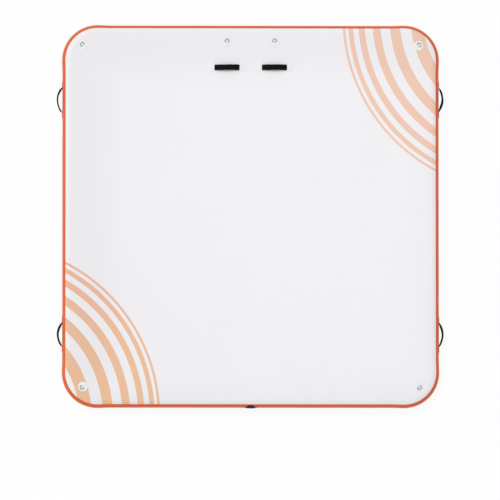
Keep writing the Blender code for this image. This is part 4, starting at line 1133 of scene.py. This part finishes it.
    def patch(self, turn: int) -> Shell:
        """An end patch: a rounded plate whose middle is raised over the tail and open at its mouth.

        Rows run across and columns along, between the rounded ends x = L/2 - (r - sqrt(r^2 - q^2)).
        """
        rows, cols = 65, 49
        pocket = self.strap_width / 2 + GLUE
        half, middle, bend = pocket + self.patch_margin, self.patch_length / 2, self.patch_round
        across = half * np.linspace(-1, 1, rows)[:, None] + np.zeros((1, cols))
        aside = np.abs(across)
        past = np.clip(aside - (half - bend), 0, bend)
        reach = middle - bend + np.sqrt(bend ** 2 - past ** 2 * 0.999)
        along = -middle + reach * np.linspace(-1, 1, cols)[None, :]
        beside, behind, inset = self.mouth_edge
        rim = np.where((aside < pocket + beside) & (along > -behind), inset,
                       np.minimum(reach - np.abs(along + middle), half - aside))
        plate = GLUE + self.patch_wall * smooth_step(rim, *self.patch_rim)
        base = EDGE.drop(across) if self.kind is HandleKind.SIDE else 0 * across
        end = self.tail - self.mouth
        over = foot(pocket - aside, self.side_foot) * foot(along + end, self.back_foot)
        top = (plate - base) * (1 - over) + self.cover_top * over
        room = (aside < pocket) & (along > -end - self.tail_room)
        under = np.minimum(np.where(room, self.cover_top - self.patch_wall, GLUE - base), top - self.least_wall)
        y = along - self.span / 2 - self.mouth
        flip = np.array([1.0, turn, turn])
        return double_sheet(np.stack([top, y, across], -1) * flip, np.stack([under, y, across], -1) * flip,
                            np.ones((rows - 1, cols - 1), bool), np.stack([along, across], -1))


# The disc's radii in millimetres and its share of its full thickness at each
DISC = ((24.3, 1), (26, 1), (30, 1), (36, 1), (40, 1), (43, 1), (44, .75), (45, .75), (46, 1), (49, 1), (51, 1),
        (51.6, .85), (51.9, .6), (52, .3))
# The sections of the valve's mouldings, (radius, out, rounding) corners in millimetres
HOUSING = ((24, 1, 0), (24, 2.6, 0), (32.9, 2.6, .3), (33.5, 2.75, .2), (33.5, 4.4, 1.6), (25.5, 4.4, .8),
           (25, 3.95, .4), (23.2, 3.95, .4), (22.6, 4.4, .3), (21.5, 4.4, .4), (21.5, .6, .4), (13.2, .6, .3),
           (12.5, -.1, .3), (12.5, -10, .2), (14.5, -12, .2), (14.5, -25, .2), (13, -26.5, .2), (13, -28, .3),
           (19, -28, .5), (19, -18, .8), (24, -15.7, .6), (24, 1, 0))
HUB = ((2.9, -18, .2), (5.4, -18, .4), (5.4, -22, .4), (2.9, -22, .2), (2.9, -18, .2))
STUD = ((.05, 3.5, 0), (1.7, 3.5, 0), (1.7, 5.8, .1), (2.55, 5.8, .15), (2.55, 6.6, .5), (.05, 6.75, 0))
CAP = ((20.4, 3.5, 0), (21.2, 3.2, .4), (21.2, 2, .3), (12.2, 2, .2), (12.2, -.7, 0), (11, -.7, 0), (11, -3.1, 0),
       (12.2, -3.1, 0), (12.2, -4, .3), (10, -4, .3), (10, 2.2, .5), (.2, 2.2, 0))
SEAL = ((11.3, -2.5, 0), (12.2, -2.5, .3), (12.2, -1.3, .3), (11.3, -1.3, 0), (11.3, -2.5, 0))
LEASH_RING = ((12.5, .9, 0), (17.5, .9, .3), (17.5, 1.7, .3), (12.5, 1.7, 0), (12.5, .9, 0))
EYELET = ((2.0, 4.7, 0), (4.2, 4.7, .3), (4.2, 5.5, .3), (2.0, 5.5, 0), (2.0, 4.7, 0))
BUTTON = ((5.2, -5, 0), (6, -5.8, .3), (6, -7.5, .2), (2.6, -7.5, .2), (2.6, -30.2, 0), (7.5, -30.2, .3),
          (7.5, -31.6, .3), (.1, -31.6, 0))


@dataclass
class AirValve(Fitting):
    """The valve on the front wall: disc, housing, cap with seal and tether, button with its spring.

    The grip is its half thickness, half length and height over the wall, and the slot its half width, half length
    and depth. Slopes are the widths of their soft sides.
    """

    disc_wall: float = 0.9 * MM
    barrel: float = 24 * MM
    flange_back: Pair = (1.9 * MM, 2.9 * MM)
    notch_half: float = 3.8 * MM
    notch_reach: Pair = (19 * MM, 25.8 * MM)
    notch_floor: float = 0.3 * MM
    notch_depth: float = 0.97
    arm: Pair = (1.5 * MM, 1.2 * MM)
    arm_reach: Pair = (5.0 * MM, 15.2 * MM)
    arm_out: float = -20 * MM
    dome_fall: float = 0.9
    dome_power: float = 2.2
    grip: Three = (3.0 * MM, 15.4 * MM, 7.0 * MM)
    grip_slopes: Pair = (1.0 * MM, 1.4 * MM)
    rib_start: float = 20.6 * MM
    rib_depth: float = 0.018
    rib_count: int = 48
    stud_reach: float = 28.75 * MM
    leash: Pair = (15 * MM, 26.2 * MM)
    leash_step: Pair = (21.3 * MM, 25.9 * MM)
    leash_levels: Pair = (1.3 * MM, 5.1 * MM)
    leash_size: Pair = (0.3 * MM, 3.5 * MM)
    slot: Three = (0.9 * MM, 5.2 * MM, 1.0 * MM)
    slot_slope: float = 0.5 * MM
    coil_ends: Pair = (-17.3 * MM, -8.2 * MM)
    coil_turns: int = 5
    coil_radius: float = 4.2 * MM
    coil_wire: float = 0.4 * MM

    def build(self, nodes: dict) -> None:
        """Build the valve's pieces and dress the nodes that stay."""
        self.put("valve_backing", [self.backing()], VALVE_RUBBER, "valve_rubber", "valve_disc")
        self.put("valve_body", self.housing(), VALVE_PLASTIC, "valve_plastic", "valve_housing", crease=35)
        self.put("valve_screw_cap", [self.cap()], VALVE_PLASTIC, "valve_plastic", "valve_cap", body="cap",
                 crease=35)
        self.put("valve_o_ring", [moulding(SEAL, sides=96, steps=5)], VALVE_RUBBER, "valve_rubber",
                 "valve_cap_seal", body="cap_seal")
        leash = self.put("valve_leash", self.tether(), VALVE_RUBBER, "valve_plastic", "valve_cap_tether", body="")
        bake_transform(leash)
        self.put("valve_button", [self.button()], NUT_PLASTIC, "nut_plastic", "valve_stem", body="valve_stem_body",
                 crease=35)
        coil = self.put("valve_coil", [self.coil()], SPRING_STEEL, "spring_steel", "valve_spring")
        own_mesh(coil)
        for name, finish in (("valve_gasket", VALVE_RUBBER), ("valve_nut", NUT_PLASTIC),
                             ("valve_diaphragm", VALVE_RUBBER)):
            dress(nodes[name], finish)

    def point(self, out: float, along: float) -> Three:
        """Return the world point at a local out and along."""
        return tuple(float(v) for v in self.place[:3, :3] @ np.array([out, along, 0.0]) + self.place[:3, 3])

    def backing(self) -> Shell:
        """The disc on the rail: a ring section laid on the wall's curve, with a rounded rim and a pressed line."""
        outer, share = np.array(DISC).T
        radius = np.concatenate([outer, outer[::-1]])[:, None] * MM
        height = GLUE + self.disc_wall * np.concatenate([share, 0 * share])[:, None]
        angle = TURN * np.arange(144) / 144
        return grid_shell(EDGE.on_wall(radius * np.cos(angle), radius * np.sin(angle), height), wrap_rows=True)

    def housing(self) -> list[Shell]:
        """Flange, barrel, spider and stud.

        The back of the flange follows the wall, out - b (1 - sqrt(1 - (z / h)^2)), and the rim is cut down to the
        recess's floor where the tether crosses it.
        """
        profile = rounded_corner(HOUSING)[:-1] * MM
        low, high = self.flange_back
        back = (profile[:, 0] > self.barrel - 0.1 * MM) & (profile[:, 1] > low) & (profile[:, 1] < high)

        def lift(row: Array, along: Array, across: Array, out: Array) -> Array:
            """Lower the flange's back to the wall and the rim at the notch."""
            saddle = np.where(back[row], -EDGE.drop(across), 0.0)
            reach = np.hypot(along, across)
            notch = (along > 0) & (np.abs(across) < self.notch_half) & (out > self.notch_floor)
            notch &= (reach > self.notch_reach[0]) & (reach < self.notch_reach[1])
            return np.where(notch, self.notch_depth * (self.notch_floor - out), saddle)

        shells = [turned(profile, sides=192, closed=True, lift=lift), moulding(HUB, sides=48)]
        arm = flat_oval(*self.arm, count=16, power=0.3)
        for spoke in range(3):
            c, s = math.cos(TURN * spoke / 3), math.sin(TURN * spoke / 3)
            reach = np.linspace(*self.arm_reach, 8)[:, None] + np.zeros((1, len(arm)))
            local = [arm[:, 0] + self.arm_out + 0 * reach, reach * c - arm[:, 1] * s, reach * s + arm[:, 1] * c]
            shells.append(grid_shell(np.stack(local, -1), caps=True))
        return [*shells, moulding(STUD, sides=32, closed=False, along=self.stud_reach)]

    def cap(self) -> Shell:
        """The cap: a low dome with a grip bar in one moulding, a finger-ribbed rim and a hollow grooved plug.

        The dome falls by d t^p to the first corner of its section.
        """
        t = np.linspace(0, 1, 40)
        end, low, _ = CAP[0]
        dome = np.stack([np.linspace(0.2, end, len(t)), low + self.dome_fall * (1 - t ** self.dome_power)], -1)
        profile = np.concatenate([dome, rounded_corner(CAP)[1:]]) * MM

        def lift(row: Array, along: Array, across: Array, out: Array) -> Array:
            """Raise the grip bar out of the dome, with soft sides."""
            wide, long, high = self.grip
            bar = smooth_step(wide - np.abs(along), 0, self.grip_slopes[0])
            bar *= smooth_step(long - np.abs(across), 0, self.grip_slopes[1])
            return np.where(row < len(dome), bar * (high - out), 0.0)

        shell = turned(profile, sides=192, closed=False, lift=lift)
        reach = np.hypot(shell.points[:, 1], shell.points[:, 2])
        angle = np.arctan2(shell.points[:, 2], shell.points[:, 1])
        rib = 1 - self.rib_depth * (0.5 + 0.5 * np.cos(self.rib_count * angle)) ** 2
        shell.points[:, 1:] *= np.where(reach > self.rib_start, rib, 1.0)[:, None]
        return shell

    def tether(self) -> list[Shell]:
        """A flat ring under the cap, a strap out through the notch, and an eyelet on the stud."""
        low, high = self.leash_levels
        along = np.linspace(*self.leash, 60)
        route = np.stack([along, low + (high - low) * smooth_step(along, *self.leash_step)], -1)
        strap = grid_shell(swept(route, flat_oval(*self.leash_size, count=20, power=0.25)), caps=True)
        return [moulding(LEASH_RING, sides=96), moulding(EYELET, sides=40, along=self.stud_reach), strap]

    def button(self) -> Shell:
        """Button, rod and retainer in one, with a slot across the button's face."""
        end, out, _ = BUTTON[0]
        face = np.stack([np.linspace(0.1, end, 18), np.full(18, float(out))], -1)
        profile = np.concatenate([face, rounded_corner(BUTTON)[1:]]) * MM

        def lift(row: Array, along: Array, across: Array, out: Array) -> Array:
            """Sink the slot."""
            wide, long, deep = self.slot
            slot = smooth_step(wide - np.abs(across), 0, self.slot_slope)
            slot *= smooth_step(long - np.abs(along), 0, self.slot_slope)
            return np.where(row < len(face), -deep * slot, 0.0)

        return turned(profile, sides=96, closed=False, lift=lift)

    def coil(self) -> Shell:
        """The spring: a circle swept along (x0 + (x1 - x0) t, R cos(2 pi n t), R sin(2 pi n t))."""
        t = np.linspace(0, 1, self.coil_turns * 36 + 1)
        start, end = self.coil_ends
        angle = self.coil_turns * TURN * t
        path = np.stack([start + (end - start) * t, self.coil_radius * np.cos(angle),
                         self.coil_radius * np.sin(angle)], -1)
        return tube(path, self.coil_wire, sides=10, up=np.array([1.0, 0.0, 0.0]))


# Studio


def seen_ray(graph: Graph) -> Socket:
    """Return 1 for a ray from the camera, or one that metal, gloss or glass sends on, and 0 for diffuse light."""
    path = graph.add("LightPath").outputs
    both = graph.calc("MAXIMUM", path["Is Camera Ray"], path["Is Transmission Ray"])
    return graph.calc("MAXIMUM", both, path["Is Glossy Ray"])


def facing(spot: Array, back: Array) -> Matrix:
    """Return the place of a lamp or camera that looks along -back, with its up nearest the world's +Y."""
    right = np.cross([0.0, 1.0, 0.0], back)
    right /= np.linalg.norm(right)
    return Matrix(frame_of(spot, right, np.cross(back, right), back).tolist())


@dataclass
class Studio:
    """A white floor that keeps the dock's shadow, a far soft lamp from the upper left, and the camera overhead.

    The tilts are in degrees towards +X and +Y. A lamp is its name, place, size and power in watts.
    """

    tilt: Pair = (-1.2, -3.4)
    distance: float = 80.0
    frame_width: float = 3.9845
    aim: Three = (-0.0045, -0.267, 0.075)
    sensor: float = 36.0
    clip: Pair = (1.0, 400.0)
    world_level: float = 0.67
    floor_half: float = 60.0
    floor_glow: float = 0.92
    floor_paint: str = "#f4f4f4"
    lamps: tuple = (("key", (-18.0, 26.0, 60.0), (21.0, 21.0), 17300.0),
                    ("left strip", (-6.0, 0.0, 0.55), (0.9, 5.0), 38.0),
                    ("front strip", (0.0, -6.0, 0.55), (5.0, 0.9), 20.0))

    def build(self) -> None:
        """Build the floor, the world, the lamps and the camera."""
        self.floor()
        self.world()
        for lamp in self.lamps:
            self.lamp(*lamp)
        self.camera()
        bpy.context.scene.view_settings.view_transform = "Standard"

    def lamp(self, name: str, spot: Three, size: Pair, power: float) -> None:
        """Hang one softbox that faces the dock."""
        data = bpy.data.lights.new(name, "AREA")
        data.shape, data.size, data.size_y, data.energy = "RECTANGLE", *size, power
        linked(name, data).matrix_world = facing(np.array(spot), np.array(spot) / np.linalg.norm(spot))

    def floor(self) -> None:
        """Lay the floor: white paint whose camera view is nearly full white, less the shadow on it."""
        half = self.floor_half
        mesh = bpy.data.meshes.new("floor")
        mesh.from_pydata([(x * half, y * half, -MM) for x, y in ((-1, -1), (1, -1), (1, 1), (-1, 1))], [],
                         [(0, 1, 2, 3)])
        material = bpy.data.materials.new("matt white floor paint")
        material.use_nodes = True
        graph = Graph(material.node_tree)
        paint = graph.tree.nodes["Principled BSDF"]
        looks = {"Base Color": linear(self.floor_paint), "Roughness": 1.0, "Specular IOR Level": 0.0}
        for name, look in looks.items():
            graph.feed(paint.inputs[name], look)
        glow = graph.add("Emission", {"Color": WHITE, "Strength": 1.0})
        share = graph.calc("MULTIPLY", seen_ray(graph), self.floor_glow)
        both = graph.add("MixShader", {0: share, 1: paint.outputs[0], 2: glow.outputs[0]})
        graph.feed(graph.tree.nodes["Material Output"].inputs[0], both.outputs[0])
        mesh.materials.append(material)
        linked("floor", mesh)

    def world(self) -> None:
        """Light from all round, white where the camera, metal or glass looks at it."""
        world = bpy.data.worlds.new("studio")
        bpy.context.scene.world = world
        world.use_nodes = True
        graph = Graph(world.node_tree)
        graph.tree.nodes.clear()
        level = graph.remap(seen_ray(graph), (0.0, 1.0), (self.world_level, 1.0))
        light = graph.add("Background", {"Color": WHITE, "Strength": level})
        graph.add("OutputWorld", {0: light.outputs[0]})

    def camera(self) -> None:
        """Stand the camera high over the dock, a little to the left and the front, with +Y up in the picture."""
        data = bpy.data.cameras.new("camera")
        data.sensor_width = self.sensor
        data.lens = self.sensor * self.distance / self.frame_width
        data.clip_start, data.clip_end = self.clip
        camera = linked("camera", data)
        lean = np.array([*(math.tan(math.radians(angle)) for angle in self.tilt), 1.0])
        back = lean / np.linalg.norm(lean)
        camera.matrix_world = facing(np.array(self.aim) + back * self.distance, back)
        bpy.context.scene.camera = camera


def ring_stations() -> list[RingStation]:
    """The four corner stations, which face their corners, and the two at the middle of the rear edge."""
    stations = []
    sides = (("left", -1), ("right", 1))
    for end, y in (("rear", 1), ("front", -1)):
        for side, x in sides:
            place = EDGE.deck_place(CORNER_RING[0] * x, CORNER_RING[1] * y, math.atan2(y, x))
            stations.append(RingStation(f"{end}_{side}", place))
    for side, x in sides:
        place = EDGE.deck_place(REAR_RING[0] * x, REAR_RING[1], math.pi / 2)
        stations.append(RingStation(f"ladder_{side}", place))
    return stations


def grab_handles() -> list[GrabHandle]:
    """Two handles on the deck and two on each long edge, each with the small differences of handwork."""
    handles = []
    for side, x, sway in (("left", -0.189, (0.36 * MM, -0.72 * MM)), ("right", 0.189, (1.32 * MM, -0.18 * MM))):
        handles.append(GrabHandle(side, EDGE.deck_place(x, 1.186, 0.0), HandleKind.DECK, span=0.194, rise=0.0215,
                                  strap_width=0.038, edge_sway=sway))
    sides = (("rear_right", 0.0, 0.9325, 0.195, 0.0300, (2.8, 1.8), 0.002, (17, 0.3), 3.2 * MM),
             ("front_right", 0.0, -0.9425, 0.195, 0.0290, (2.2, 2.3), 0.0, (17, 0.72), 3.0 * MM),
             ("rear_left", math.pi, -0.929, 0.200, 0.0385, (2.1, 1.5), -0.004, (26, 0.15), 1.3 * MM),
             ("front_left", math.pi, 0.9425, 0.195, 0.0345, (2.4, 2.0), 0.0, (17, 0.26), 3.0 * MM))
    for name, angle, along, span, rise, steepness, skew, (twist, place), swell in sides:
        handles.append(GrabHandle(name, EDGE.side_place(angle, along), HandleKind.SIDE, span, rise,
                                  strap_width=0.025, skew=skew, steepness=steepness, swell=swell,
                                  twist=math.radians(twist), twist_place=place))
    return handles


def main() -> None:
    """Build every sub-assembly over the frame."""
    logging.basicConfig(level=logging.INFO, format="%(name)s: %(message)s", stream=sys.stdout)
    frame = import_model()
    AirChamber().build(frame["nodes"])
    for fitting in (*ring_stations(), *grab_handles()):
        fitting.build()
    AirValve("valve", VALVE_PLACE).build(frame["nodes"])
    Studio().build()


if __name__ == "__main__":
    main()
